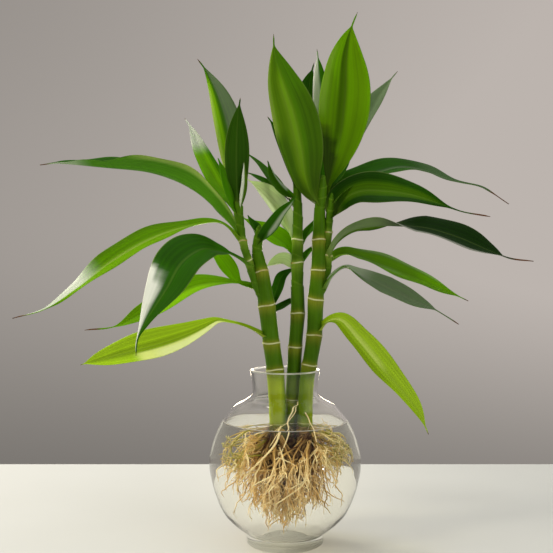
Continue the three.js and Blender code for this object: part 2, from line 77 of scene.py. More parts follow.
class Link:
    """A node's output socket, with sums that add Math nodes."""

    def __init__(self, graph: Graph, socket: bpy.types.NodeSocket) -> None:
        """Wraps one output socket of a graph's node."""
        self.graph = graph
        self.socket = socket

    def _math(self, operation: str, left: Link | float, right: Link | float) -> Link:
        """The result of a Math node on two values."""
        return self.graph.node("ShaderNodeMath", {"operation": operation}, {0: left, 1: right})

    def __add__(self, other: Link | float) -> Link:
        """This value plus another."""
        return self._math("ADD", self, other)

    def __radd__(self, other: float) -> Link:
        """A number plus this value."""
        return self._math("ADD", other, self)

    def __sub__(self, other: Link | float) -> Link:
        """This value less another."""
        return self._math("SUBTRACT", self, other)

    def __rsub__(self, other: float) -> Link:
        """A number less this value."""
        return self._math("SUBTRACT", other, self)

    def __mul__(self, other: Link | float) -> Link:
        """This value times another."""
        return self._math("MULTIPLY", self, other)

    def __rmul__(self, other: float) -> Link:
        """A number times this value."""
        return self._math("MULTIPLY", other, self)

    def size(self) -> Link:
        """This value without its sign."""
        return self._math("ABSOLUTE", self, 0.0)

    def band(self, low: float, high: float) -> Link:
        """A soft step from 0 at low to 1 at high, whichever of the two is larger."""
        limits = {"Value": self, "From Min": low, "From Max": high, "To Min": 0.0, "To Max": 1.0}
        return self.graph.node("ShaderNodeMapRange", {"interpolation_type": "SMOOTHSTEP"}, limits)

    def part(self, name: str) -> Link:
        """Another output of the same node."""
        return Link(self.graph, self.socket.node.outputs[name])


class Graph:
    """The node tree of a material or a world."""

    MIX_FIRST = 6
    MIX_SECOND = 7
    MIX_RESULT = 2

    def __init__(self, owner: bpy.types.Material | bpy.types.World) -> None:
        """Empties the owner's node tree."""
        self.owner = owner
        self.owner.use_nodes = True
        self.tree = self.owner.node_tree
        self.tree.nodes.clear()

    @staticmethod
    def named(name: str) -> Graph:
        """The graph of a new material."""
        return Graph(bpy.data.materials.new(name))

    def node(
        self,
        kind: str,
        settings: dict[str, object] | None = None,
        inputs: dict[str | int, object] | None = None,
        output: int | str = 0,
    ) -> Link:
        """Adds one node.

        Args:
            kind: the node's type.
            settings: its own settings, set first; stops are a colour ramp's places and colours.
            inputs: the value or the link of each socket that isn't left as it is.
            output: the output to give back.

        Returns:
            The link of that output.
        """
        made = self.tree.nodes.new(kind)
        for key, value in (settings or {}).items():
            if key == "stops":
                self._fill_ramp(made.color_ramp, value)
            else:
                setattr(made, key, value)
        for key, value in (inputs or {}).items():
            if isinstance(value, Link):
                self.tree.links.new(value.socket, made.inputs[key])
            else:
                made.inputs[key].default_value = value
        return Link(self, made.outputs[output])

    def _fill_ramp(self, ramp: bpy.types.ColorRamp, stops: list[tuple[float, Colour]]) -> None:
        """Gives a colour ramp its stops.

        Args:
            ramp: the ramp, with two stops of its own at first.
            stops: the place and the colour of each stop.
        """
        while len(ramp.elements) < len(stops):
            ramp.elements.new(1.0)
        for element, (place, shade) in zip(ramp.elements, stops):
            element.position = place
            element.color = shade

    def value(self, name: str) -> Link:
        """A number that the mesh carries at each point."""
        return self.node("ShaderNodeAttribute", {"attribute_name": name}, output="Fac")

    def place(self) -> Link:
        """Where a point lies, in metres."""
        return self.node("ShaderNodeTexCoord", output="Object")

    def axis(self, name: str) -> Link:
        """How far a point lies along one axis, in metres."""
        return self.node("ShaderNodeSeparateXYZ", inputs={"Vector": self.place()}, output=name)

    def noise(self, vector: Link, scale: float, detail: float = 2.0) -> Link:
        """Soft noise from 0 to 1 over a vector."""
        return self.node(
            "ShaderNodeTexNoise", inputs={"Vector": vector, "Scale": scale, "Detail": detail}
        )

    def stretched(self, x: float, y: float, z: float) -> Link:
        """The place of a point, stretched along each axis."""
        return self.node(
            "ShaderNodeVectorMath", {"operation": "MULTIPLY"}, {0: self.place(), 1: (x, y, z)}
        )

    def mix(self, share: Link | float, first: Link | Colour, second: Link | Colour) -> Link:
        """A share of the second colour in the first."""
        tones = {0: share, self.MIX_FIRST: first, self.MIX_SECOND: second}
        return self.node("ShaderNodeMix", {"data_type": "RGBA"}, tones, output=self.MIX_RESULT)

    def shade(self, amount: Link, tone: Link) -> Link:
        """A colour made darker or lighter by a factor about 1."""
        lit = self.node("ShaderNodeCombineXYZ", inputs={0: amount, 1: amount, 2: amount})
        return self.node("ShaderNodeVectorMath", {"operation": "MULTIPLY"}, {0: tone, 1: lit})

    def bump(self, height: Link, depth: float, strength: float) -> Link:
        """A normal bent by a height, for a relief of that depth in metres."""
        return self.node(
            "ShaderNodeBump", inputs={"Height": height, "Distance": depth, "Strength": strength}
        )

    def finish(self, shader: Link, last: str = "ShaderNodeOutputMaterial") -> bpy.types.ID:
        """Ends the tree with this shader and gives the material or world back."""
        self.tree.links.new(shader.socket, self.tree.nodes.new(last).inputs["Surface"])
        return self.owner


# Finishes


class Tint(Enum):
    """How a leaf takes the light, from shaded to lit through, as its greens with painted light and
    shade.
    """

    DEEP = "deep"
    MID = "mid"
    BRIGHT = "bright"
    LIME = "lime"
    PALE = "pale"


@dataclass(frozen=True)
class LeafFinish:
    """Waxy leaf tissue that light shines through.

    face and under colour its two sides, and glow the light that comes through it. through is how
    much of its light comes that way. The mesh's marks and its light value paint light and shade
    into the colour: a painted glow, painted sunlight, a painted sheen and painted shade. Where
    weights stand together, the first is the plain part and the others are what each texture adds.
    """

    face: str
    under: str
    glow: str
    through: float
    roughness: float = 0.42

    PAINTED_GLOW = "#80b010"
    SUNLIT = "#dcea84"
    RIB = "#9ab84e"
    EDGE = "#a8c060"
    FOOT = "#86a238"
    SHEEN = "#f4f8ea"
    DRY = "#5a3a22"
    LENGTHWISE = 0.05
    SEED_STEP = 9
    VEINS = (9, 4)
    FINE_VEINS = (38, 2)
    BLOTCHES = (24, 3)
    VEIN_BAND = (0.3, 0.7)
    MOTTLE = (0.52, 0.34, 0.28, 0.3)
    RIDGE = 0.3
    RIB_HALF = 0.085
    RIB_SHARE = 0.14
    EDGE_FROM = 0.93
    EDGE_SHARE = 0.35
    FOOT_TO = 0.12
    FOOT_SHARE = 0.4
    SHEEN_SHARE = (0.8, 0.4)
    SHADE_DEPTH = 0.75
    THROUGH_SHARE = (0.6, 0.4, 0.3)
    DRY_BLOCKS = 0.8
    SHEEN_BLOCKS = 0.5
    LIT_BLOCKS = 0.7
    VEIN_ROUGHNESS = 0.08
    RELIEF = 0.0004
    RELIEF_STRENGTH = 0.5
    GLOSS = 0.06

    def material(self, name: str) -> bpy.types.Material:
        """The material, which reads every value that a leaf's mesh carries.

        Args:
            name: the material's name.

        Returns:
            The finished material.
        """
        g = Graph.named(name)
        across, along, seed = g.value("across"), g.value("along"), g.value("seed")
        shade, sheen, lit = g.value("shade"), g.value("sheen"), g.value("lit")
        dry = g.value("dry")
        vein_line = g.node(
            "ShaderNodeCombineXYZ",
            inputs={0: across, 1: along * self.LENGTHWISE, 2: seed * self.SEED_STEP},
        )
        veins = g.noise(vein_line, *self.VEINS).band(*self.VEIN_BAND)
        fine = g.noise(vein_line, *self.FINE_VEINS)
        blotches = g.noise(g.place(), *self.BLOTCHES)
        plain, veined, finely, blotched = self.MOTTLE
        mottle = plain + veins * veined + fine * finely + blotches * blotched
        rib = across.size().band(self.RIB_HALF, 0.0)
        edge = across.size().band(self.EDGE_FROM, 1.0)
        foot = along.band(self.FOOT_TO, 0.0)
        tone = g.mix(g.value("under"), colour(self.face), colour(self.under))
        # Painted glow: a lit-through yellow-green painted in where the mesh's glow value says.
        tone = g.mix(g.value("glow"), tone, colour(self.PAINTED_GLOW))
        # The light value scales the colour: the leaf's own tone with painted light and shade in it.
        tone = g.shade(mottle * g.value("light"), tone)
        # Painted sunlight.
        tone = g.mix(lit, tone, colour(self.SUNLIT))
        tone = g.mix(rib * self.RIB_SHARE, tone, colour(self.RIB))
        # A pale margin: the leaf's own paler edge, with painted light shining through the thin rim.
        tone = g.mix(edge * self.EDGE_SHARE, tone, colour(self.EDGE))
        tone = g.mix(foot * self.FOOT_SHARE, tone, colour(self.FOOT))
        # Painted sheen: a white painted highlight.
        plain, finely = self.SHEEN_SHARE
        tone = g.mix(sheen * (plain + fine * finely), tone, colour(self.SHEEN))
        # Painted shade.
        tone = g.shade(1 - shade * self.SHADE_DEPTH, tone)
        tone = g.mix(dry, tone, colour(self.DRY))
        ridges = veins * self.RIDGE + fine * self.RIDGE + rib * self.RIDGE
        ridges = ridges * g.value("broadness")
        skin = g.node(
            "ShaderNodeBsdfPrincipled",
            inputs={
                "Base Color": tone,
                "Roughness": self.roughness + veins * self.VEIN_ROUGHNESS,
                "Normal": g.bump(ridges, self.RELIEF, self.RELIEF_STRENGTH),
                "Specular IOR Level": self.GLOSS,
            },
        )
        shining = g.node("ShaderNodeBsdfTranslucent", inputs={"Color": colour(self.glow)})
        plain, veined, finely = self.THROUGH_SHARE
        share = self.through * (plain + veins * veined + fine * finely)
        share = share * (1 - shade) * (1 - dry * self.DRY_BLOCKS)
        share = share * (1 - sheen * self.SHEEN_BLOCKS) * (1 - lit * self.LIT_BLOCKS)
        both = g.node("ShaderNodeMixShader", inputs={0: share, 1: skin, 2: shining})
        return g.finish(both)


LEAF_FINISHES = {
    Tint.DEEP: LeafFinish("#224c04", "#3c6a10", "#6ca404", 0.3),
    Tint.MID: LeafFinish("#366404", "#588214", "#86c004", 0.4),
    Tint.BRIGHT: LeafFinish("#547f05", "#749418", "#a6d408", 0.5),
    Tint.LIME: LeafFinish("#7c9e06", "#9ab220", "#c4e010", 0.0),
    Tint.PALE: LeafFinish("#84a05a", "#acbf86", "#c4d890", 0.42, 0.46),
}


@dataclass(frozen=True)
class StemFinish:
    """Green stem skin with pale ring scars, brown under water, and painted sunlight in the vase's
    neck.

    Heights and places across are in metres. Where weights stand together, the first is the plain
    part and the others are what each texture adds.
    """

    skin: str
    near_scar: str
    scar: str
    scar_brown: str
    water_level: float
    sunlit_share: float = 0.0

    SUNLIT = "#b2c81e"
    WET = "#54451a"
    SPECK = "#7d6a30"
    SUNLIT_BOTTOM = (0.085, 0.098)
    SUNLIT_TOP = (0.137, 0.124)
    LEFT_CANE = (0.001, -0.004)
    RIGHT_CANE = (0.013, 0.021)
    WET_FADE = (0.003, 0.010)
    LEFT_LIT = 0.75
    RIGHT_LIT = 0.4
    ALL_LIT = 0.22
    GRAIN = 700
    LENGTHWISE = 0.05
    STREAK_DETAIL = 3
    BLOTCHES = (90, 4)
    SPECKS = (0.7, 0.78)
    SPECK_SHARE = 0.2
    HALO_SHARE = 0.5
    MOTTLE = (0.55, 0.5, 0.4)
    WET_SHARE = (0.45, 0.5)
    BROWNED = (0.5, 0.72)
    RIDGE = 0.5
    ROUGHNESS = (0.34, 0.3, 0.1)
    RELIEF = 0.0003
    RELIEF_STRENGTH = 0.6
    GLOSS = 0.08

    def material(self, name: str) -> bpy.types.Material:
        """The material, which reads the mesh's scar and halo values.

        Args:
            name: the material's name.

        Returns:
            The finished material.
        """
        g = Graph.named(name)
        scar, halo = g.value("scar"), g.value("halo")
        height, sideways = g.axis("Z"), g.axis("X")
        drawn_out = g.stretched(1.0, 1.0, self.LENGTHWISE)
        streaks = g.noise(drawn_out, self.GRAIN, self.STREAK_DETAIL)
        blotches = g.noise(g.place(), *self.BLOTCHES)
        specks = g.noise(g.place(), self.GRAIN).band(*self.SPECKS)
        above, below = self.WET_FADE
        wet = height.band(self.water_level + above, self.water_level - below)
        # Painted sunlight in the vase's neck: strongest on the left cane, less on the right.
        left, right = sideways.band(*self.LEFT_CANE), sideways.band(*self.RIGHT_CANE)
        neck = height.band(*self.SUNLIT_BOTTOM) * height.band(*self.SUNLIT_TOP)
        lit = neck * (left * self.LEFT_LIT + right * self.RIGHT_LIT + self.ALL_LIT)
        tone = g.mix(halo * self.HALO_SHARE, colour(self.skin), colour(self.near_scar))
        tone = g.mix(lit * self.sunlit_share, tone, colour(self.SUNLIT))
        plain, streaked, blotched = self.MOTTLE
        tone = g.shade(plain + streaks * streaked + blotches * blotched, tone)
        plain, blotched = self.WET_SHARE
        tone = g.mix(wet * (plain + blotches * blotched), tone, colour(self.WET))
        ring = g.mix(blotches.band(*self.BROWNED), colour(self.scar), colour(self.scar_brown))
        tone = g.mix(scar, tone, ring)
        tone = g.mix(specks * self.SPECK_SHARE, tone, colour(self.SPECK))
        grain = streaks * self.RIDGE + blotches * self.RIDGE
        plain, scarred, blotched = self.ROUGHNESS
        skin = g.node(
            "ShaderNodeBsdfPrincipled",
            inputs={
                "Base Color": tone,
                "Roughness": plain + scar * scarred + blotches * blotched,
                "Normal": g.bump(grain, self.RELIEF, self.RELIEF_STRENGTH),
                "Specular IOR Level": self.GLOSS,
            },
        )
        return g.finish(skin)


@dataclass(frozen=True)
class RootFinish:
    """Straw-coloured roots, darker with years and painted shade, dark in the crown and some
    greenish.
    """

    young: str = "#fbeab8"
    middling: str = "#d8b26c"
    old: str = "#4a2c12"
    mossy: str = "#8c8e30"

    AGES = (0.1, 0.52, 0.98)
    WORN = (0.3, 0.15)
    MOTTLE = (0.9, 0.55)
    ROUGHNESS = (0.5, 0.2)
    BLOTCHES = (260, 3)
    GRAIN = 2200
    RELIEF = 0.0002
    RELIEF_STRENGTH = 0.6
    GLOSS = 0.08

    def material(self, name: str) -> bpy.types.Material:
        """The material, which reads the mesh's moss value and its darkness from years and painted
        shade.

        Args:
            name: the material's name.

        Returns:
            The finished material.
        """
        g = Graph.named(name)
        grain = g.noise(g.place(), self.GRAIN)
        span, middle = self.WORN
        # How dark a root is: its years with painted shade added, and random blotches.
        darkness = g.value("age") + g.noise(g.place(), *self.BLOTCHES) * span - middle
        tones = [colour(code) for code in (self.young, self.middling, self.old)]
        stops = list(zip(self.AGES, tones))
        tone = g.node("ShaderNodeValToRGB", {"stops": stops}, {"Fac": darkness})
        tone = g.mix(g.value("moss"), tone, colour(self.mossy))
        plain, grained = self.MOTTLE
        tone = g.shade(plain + grain * grained, tone)
        smooth, grained = self.ROUGHNESS
        skin = g.node(
            "ShaderNodeBsdfPrincipled",
            inputs={
                "Base Color": tone,
                "Roughness": smooth + grain * grained,
                "Specular IOR Level": self.GLOSS,
                "Normal": g.bump(grain, self.RELIEF, self.RELIEF_STRENGTH),
            },
        )
        return g.finish(skin)


@dataclass(frozen=True)
class ClearFinish:
    """Glass or water: clear, and letting straight light through to what it holds.

    bright_from is the height above which its edge carries a painted highlight, a band of white
    translucent shader, and bright how strong that painted highlight is.
    """

    tint: str
    ior: float
    bright_from: float
    bright: float

    PAINTED_HIGHLIGHT = "#ffffff"
    COAT = 0.2
    COAT_IOR = 1.5
    FADE = 0.0003

    def material(self, name: str) -> bpy.types.Material:
        """The clear material.

        Args:
            name: the material's name.

        Returns:
            The finished material.
        """
        g = Graph.named(name)
        clear = g.node(
            "ShaderNodeBsdfPrincipled",
            inputs={
                "Base Color": colour(self.tint),
                "Roughness": 0.0,
                "IOR": self.ior,
                "Transmission Weight": 1.0,
                "Coat Weight": self.COAT,
                "Coat IOR": self.COAT_IOR,
            },
        )
        # Painted highlight: white translucent shader on the lip and on the water's edge.
        painted_highlight = g.node("ShaderNodeBsdfTranslucent", inputs={"Color": colour(self.PAINTED_HIGHLIGHT)})
        share = g.axis("Z").band(self.bright_from, self.bright_from + self.FADE) * self.bright
        edged = g.node("ShaderNodeMixShader", inputs={0: share, 1: clear, 2: painted_highlight})
        straight = g.node("ShaderNodeBsdfTransparent", inputs={"Color": colour(self.tint)})
        shadow = g.node("ShaderNodeLightPath", output="Is Shadow Ray")
        both = g.node("ShaderNodeMixShader", inputs={0: shadow, 1: edged, 2: straight})
        return g.finish(both)


@dataclass(frozen=True)
class PlainFinish:
    """A matt surface of one colour with a faint mottle, for the stage."""

    tone: str

    MOTTLE = "#9c9a90"
    MOTTLE_SHARE = 0.06
    CLOUDS = (6, 4)
    CLOUD_BAND = (0.3, 0.7)
    ROUGHNESS = 0.75
    GLOSS = 0.05

    def material(self, name: str) -> bpy.types.Material:
        """The matt material.

        Args:
            name: the material's name.

        Returns:
            The finished material.
        """
        g = Graph.named(name)
        clouds = g.noise(g.place(), *self.CLOUDS).band(*self.CLOUD_BAND)
        tone = g.mix(clouds * self.MOTTLE_SHARE, colour(self.tone), colour(self.MOTTLE))
        matt = {
            "Base Color": tone,
            "Roughness": self.ROUGHNESS,
            "Specular IOR Level": self.GLOSS,
        }
        return g.finish(g.node("ShaderNodeBsdfPrincipled", inputs=matt))


# Meshes


@dataclass
class Skin:
    """Points, faces and the numbers that the points carry, on the way to a mesh."""

    points: np.ndarray
    faces: list[tuple[int, ...]]
    values: dict[str, np.ndarray] = field(default_factory=dict)
    map: np.ndarray | None = None

    @staticmethod
    def joined(skins: list[Skin]) -> Skin:
        """Several skins as one.

        Args:
            skins: the skins, each with the same named values.

        Returns:
            The one skin.
        """
        faces: list[tuple[int, ...]] = []
        start = 0
        for skin in skins:
            faces += [tuple(corner + start for corner in face) for face in skin.faces]
            start += len(skin.points)
        values = {k: np.concatenate([s.values[k] for s in skins]) for k in skins[0].values}
        return Skin(np.concatenate([s.points for s in skins]), faces, values)

    def piece(self, name: str, material: bpy.types.Material) -> bpy.types.Object:
        """The skin as a smooth-shaded object in the scene.

        Args:
            name: the object's name.
            material: what it wears.

        Returns:
            The new object, its points in metres.
        """
        mesh = bpy.data.meshes.new(name)
        mesh.from_pydata((self.points * MM).tolist(), [], self.faces)
        for key, numbers in self.values.items():
            stored = mesh.attributes.new(key, "FLOAT", "POINT")
            stored.data.foreach_set("value", numbers.astype(np.float32))
        if self.map is not None:
            mesh.uv_layers.new(name="map").data.foreach_set("uv", self.map.reshape(-1))
        mesh.shade_smooth()
        mesh.materials.append(material)
        made = bpy.data.objects.new(name, mesh)
        bpy.context.scene.collection.objects.link(made)
        return made


def loft_faces(rings: int, corners: int, capped: bool = True) -> list[tuple[int, ...]]:
    """Quads between rings of points, and a face on each end.

    Args:
        rings: how many rings there are.
        corners: how many points each ring has.
        capped: whether the ends are closed.

    Returns:
        The faces, looking outwards where the rings turn anticlockwise about their way.
    """
    faces: list[tuple[int, ...]] = []
    for ring in range(rings - 1):
        for corner in range(corners):
            a = ring * corners + corner
            b = ring * corners + (corner + 1) % corners
            faces.append((a, b, b + corners, a + corners))
    if capped:
        faces.append(tuple(reversed(range(corners))))
        faces.append(tuple(range((rings - 1) * corners, rings * corners)))
    return faces


def unit(vectors: np.ndarray) -> np.ndarray:
    """Vectors at length 1."""
    return vectors / np.maximum(np.linalg.norm(vectors, axis=-1, keepdims=True), TINY)


def ease(values: np.ndarray, low: float, high: float) -> np.ndarray:
    """A soft step from 0 at low to 1 at high."""
    share = np.clip((values - low) / (high - low), 0, 1)
    return share * share * (3 - 2 * share)


def angles(sides: int) -> np.ndarray:
    """The angles of the points of a ring, evenly round it."""
    return np.arange(sides) / sides * 2 * np.pi


def blended(places: np.ndarray, stops: np.ndarray, rows: np.ndarray) -> np.ndarray:
    """Rows of numbers that belong to stops, blended at other places."""
    return np.stack([np.interp(places, stops, column) for column in rows.T], axis=1)


class SmoothLine:
    """A centripetal curve through points, walked by its length."""

    DENSE = 40
    SHORTEST = 1e-4

    def __init__(self, points: list[tuple[float, ...]]) -> None:
        """Samples the curve finely.

        Args:
            points: the points that it runs through. Numbers after the first three are left out.
        """
        knots = np.array([p[:3] for p in points], float)
        first = 2 * knots[0] - knots[1]
        last = 2 * knots[-1] - knots[-2]
        knots = np.vstack([first, knots, last])
        samples = [self._span(*knots[k : k + 4]) for k in range(len(knots) - 3)]
        self.samples = np.vstack([*samples, knots[-2]])
        steps = np.linalg.norm(np.diff(self.samples, axis=0), axis=1)
        self.walked = np.concatenate([[0.0], np.cumsum(steps)])
        self.length = float(self.walked[-1])

    def _span(self, p0: np.ndarray, p1: np.ndarray, p2: np.ndarray, p3: np.ndarray) -> np.ndarray:
        """Points along the curve between two of its knots.

        Args:
            p0: the knot before them.
            p1: the knot that the points start from.
            p2: the knot that they run to.
            p3: the knot after them.

        Returns:
            The points, without the one at p2.
        """
        pairs = ((p0, p1), (p1, p2), (p2, p3))
        d0, d1, d2 = (max(float(np.linalg.norm(b - a)) ** 0.5, self.SHORTEST) for a, b in pairs)
        start = ((p1 - p0) / d0 - (p2 - p0) / (d0 + d1) + (p2 - p1) / d1) * d1
        end = ((p2 - p1) / d1 - (p3 - p1) / (d1 + d2) + (p3 - p2) / d2) * d1
        t = np.linspace(0, 1, self.DENSE, endpoint=False)[:, None]
        square, cube = t * t, t * t * t
        return (
            p1 + start * t + (3 * (p2 - p1) - 2 * start - end) * square
            + (2 * (p1 - p2) + start + end) * cube
        )

    def at(self, places: np.ndarray) -> tuple[np.ndarray, np.ndarray]:
        """Points and directions along the curve.

        Args:
            places: shares of the whole length, from 0 to 1.

        Returns:
            The points, and the unit direction of the curve at each.
        """
        walked = places * self.length
        apart = self.walked + np.arange(len(self.walked)) * TINY
        slope = np.gradient(self.samples, apart, axis=0)
        points = blended(walked, self.walked, self.samples)
        return points, unit(blended(walked, self.walked, slope))

    def at_heights(self, heights: np.ndarray) -> tuple[np.ndarray, np.ndarray]:
        """Points and directions where a rising curve reaches each height."""
        rising = np.maximum.accumulate(self.samples[:, 2])
        return self.at(np.interp(heights, rising, self.walked) / self.length)


# Leaves


class Look(Enum):
    """Which painted light or shade a mark puts in a leaf's colour: sheen, shade, glow or sunlight.
    """

    SHEEN = "sheen"
    SHADE = "shade"
    GLOW = "glow"
    LIT = "lit"


@dataclass(frozen=True)
class Mark:
    """A soft patch of painted light or shade on a leaf, placed by shares of its length and of its
    half width.

    along and across give the patch's start and end, from the foot to the tip and from edge to edge,
    and soft how far it fades out beyond them.
    """

    look: Look
    along: tuple[float, float]
    across: tuple[float, float]
    strength: float
    soft: tuple[float, float] = (0.12, 0.35)

    def over(self, place: np.ndarray, across: np.ndarray) -> np.ndarray:
        """How strong the mark is on the leaf.

        Args:
            place: the share of the leaf's length of each point.
            across: each point's place between the midrib at 0 and the edges at -1 and 1.

        Returns:
            The strength at each point.
        """
        lengthwise = ease(place, self.along[0] - self.soft[0], self.along[0])
        lengthwise = lengthwise * (1 - ease(place, self.along[1], self.along[1] + self.soft[0]))
        sideways = ease(across, self.across[0] - self.soft[1], self.across[0])
        sideways = sideways * (1 - ease(across, self.across[1], self.across[1] + self.soft[1]))
        return self.strength * lengthwise * sideways


def shaded(strength: float) -> tuple[Mark, ...]:
    """The painted shade of a leaf that lies in the shade from its foot to its tip."""
    return (Mark(Look.SHADE, (0, 1), (-1, 1), strength),)


@dataclass(frozen=True)
class Leaf:
    """One long channelled leaf along its midrib.

    path is the midrib from its foot. face is the way the upper face looks, from the foot to the
    tip. width is at the belly, which lies that share along the broad part. broad gives the shares
    of the midrib between which the blade is broad, channel how far it folds up beside the midrib,
    wave how far its edges ripple, and light how bright its colour is: its own tone together with
    painted light and shade for the light that falls on it.
    """

    name: str
    path: list[Point]
    face: list[Point]
    width: float
    belly: float
    tint: Tint
    broad: tuple[float, float] = (0.0, 0.94)
    channel: float = 0.22
    wave: float = 0.5
    marks: tuple[Mark, ...] = ()
    dry_from: float = 0.975
    light: float = 1.6
    seed: float = 0.0

    STEPS = 72
    EVEN = 0.6
    CROWDED = 0.4
    COLUMNS = 17
    ARC = 0.92
    FULLNESS = 2.0
    FOOT = 5.0
    TAIL = 1.1
    TIP_FROM = 0.97
    TIP_CUT = 0.75
    DRY_FADE = 0.04
    RIB = 0.34
    EDGE = 0.13
    KEEL = 0.30
    KEEL_HALF = 0.8
    KEEL_FALL = 0.8
    GROOVE = 0.35
    FOLD = 1.96
    FOLD_SOFT = 0.012
    STALK_CUP = 0.85
    CUP_LENGTH = 11
    RIPPLE_LENGTH = 46
    FEWEST_RIPPLES = 1.5
    RIPPLE_SHIFT = 1.1
    RIPPLE_IN = (0.06, 0.25)
    RIPPLE_OUT = (0.86, 1.0)
    CURL = 0.10
    MAP_SIZE = 0.98
    MAP_MARGIN = 0.01

    def half_width(self, place: np.ndarray) -> np.ndarray:
        """Half the blade's width along its length.

        Args:
            place: shares of the length.

        Returns:
            Half the width at each, in millimetres.
        """
        rise = self.FULLNESS * self.belly
        fall = self.FULLNESS * (1 - self.belly)
        peak = self.belly**rise * (1 - self.belly) ** fall
        share = np.clip((place - self.broad[0]) / (self.broad[1] - self.broad[0]), 0, 1)
        swell = share**rise * (1 - share) ** fall / peak
        foot = min(self.FOOT, self.width / 2)
        stalk = foot + (self.TAIL - foot) * place
        stalk = stalk * (1 - self.TIP_CUT * ease(place, self.TIP_FROM, 1.0))
        return np.hypot(self.width * swell, stalk) / 2

    def _lift(
        self, place: np.ndarray, across: np.ndarray, half: np.ndarray, length: float
    ) -> np.ndarray:
        """How far the blade rises beside its midrib, by its fold, ripple and curl.

        Args:
            place: the share of the length of each ring.
            across: each column's place between the midrib at 0 and the edges at 1.
            half: half the width at each ring.
            length: the leaf's length.

        Returns:
            The rise of each point of the rings, in millimetres.
        """
        size = np.abs(across)
        open_from = np.exp(-((place * length / self.CUP_LENGTH) ** 2))
        cup = self.channel + (self.STALK_CUP - self.channel) * open_from
        fold = self.FOLD * np.sqrt(size**2 + self.FOLD_SOFT) - 1.0
        ends = ease(place, *self.RIPPLE_IN) * (1 - ease(place, *self.RIPPLE_OUT))
        ends = ends[:, None]
        turns = max(length / self.RIPPLE_LENGTH, self.FEWEST_RIPPLES)
        angle = 2 * np.pi * (turns * place[:, None] + self.seed)
        ripple = np.sin(angle + np.sign(across) * self.RIPPLE_SHIFT)
        ripple = ripple * self.wave * ends * size**3
        curl = -self.CURL * half[:, None] * size**4 * ends
        return fold * (half * cup)[:, None] + ripple + curl

    def _values(
        self, place: np.ndarray, across: np.ndarray, under: np.ndarray, half: np.ndarray
    ) -> dict[str, np.ndarray]:
        """The values that each point carries for its finish.

        Args:
            place: the share of the length of each ring.
            across: the place across the blade of each point of a ring.
            under: 1 for each point of a ring that lies on the lower face.
            half: half the width at each ring.

        Returns:
            The values by their names.
        """
        corners = len(across)
        count = len(place) * corners
        places = np.repeat(place, corners)
        acrosses = np.tile(across, len(place))
        values = {
            "across": acrosses,
            "along": places,
            "under": np.tile(under, len(place)),
            "seed": np.full(count, self.seed),
            "light": np.full(count, self.light),
            "broadness": np.repeat(half / half.max(), corners),
            "dry": ease(places, self.dry_from, min(self.dry_from + self.DRY_FADE, 1.0)),
        }
        for kind in Look:
            strengths = [mark.over(places, acrosses) for mark in self.marks if mark.look is kind]
            values[kind.value] = np.clip(sum(strengths, np.zeros(count)), 0, 1)
        return values

    def skin(self) -> Skin:
        """Builds the leaf round its midrib.

        Returns:
            One closed thin shell, with the values that its finish reads.
        """
        line = SmoothLine(self.path)
        even = np.linspace(0, 1, self.STEPS + 1)
        place = self.EVEN * even + self.CROWDED * (1 - np.cos(np.pi * even)) / 2
        centre, along = line.at(place)
        stops = np.linspace(0, 1, len(self.face))
        look = blended(place, stops, np.array(self.face, float))
        side = unit(np.cross(along, look))
        up = np.cross(side, along)
        half = self.half_width(place)
        across = np.sin(np.linspace(-0.5, 0.5, self.COLUMNS) * np.pi * self.ARC)
        across = across / math.sin(self.ARC / 2 * np.pi)
        size = np.abs(across)
        lift = self._lift(place, across, half, line.length)
        thick = (self.RIB + (self.EDGE - self.RIB) * size) * np.sqrt(1 - size**10)
        keel = self.KEEL * np.exp(-((across * half[:, None] / self.KEEL_HALF) ** 2))
        keel = keel * (1 - self.KEEL_FALL * place[:, None])
        spread = centre[:, None, :] + side[:, None, :] * (across * half[:, None])[:, :, None]
        upper = spread + up[:, None, :] * (lift + thick - self.GROOVE * keel)[:, :, None]
        lower = spread + up[:, None, :] * (lift - thick - keel)[:, :, None]
        inner = slice(self.COLUMNS - 2, 0, -1)
        rings = np.concatenate([upper, lower[:, inner]], axis=1)
        corners = rings.shape[1]
        over = np.concatenate([across, across[inner]])
        beneath = np.concatenate([np.zeros(self.COLUMNS), np.ones(corners - self.COLUMNS)])
        values = self._values(place, over, beneath, half)
        shell = Skin(rings.reshape(-1, 3), loft_faces(len(place), corners), values)
        return replace(shell, map=self._map(shell.faces, place, corners))

    def _map(
        self, faces: list[tuple[int, ...]], place: np.ndarray, corners: int
    ) -> np.ndarray:
        """Lays the upper face out on the left half of the map and the lower on the right half.

        Args:
            faces: the leaf's faces.
            place: the share of the length of each ring.
            corners: how many points a ring has.

        Returns:
            The place on the map of each corner of each face.
        """
        spots = []
        for face in faces:
            rows = [point // corners for point in face]
            columns = [point % corners for point in face]
            if 0 in columns and corners - 1 in columns:
                columns = [column or corners for column in columns]
            spots += [(column / corners, place[row]) for column, row in zip(columns, rows)]
        return np.array(spots, np.float32) * self.MAP_SIZE + self.MAP_MARGIN
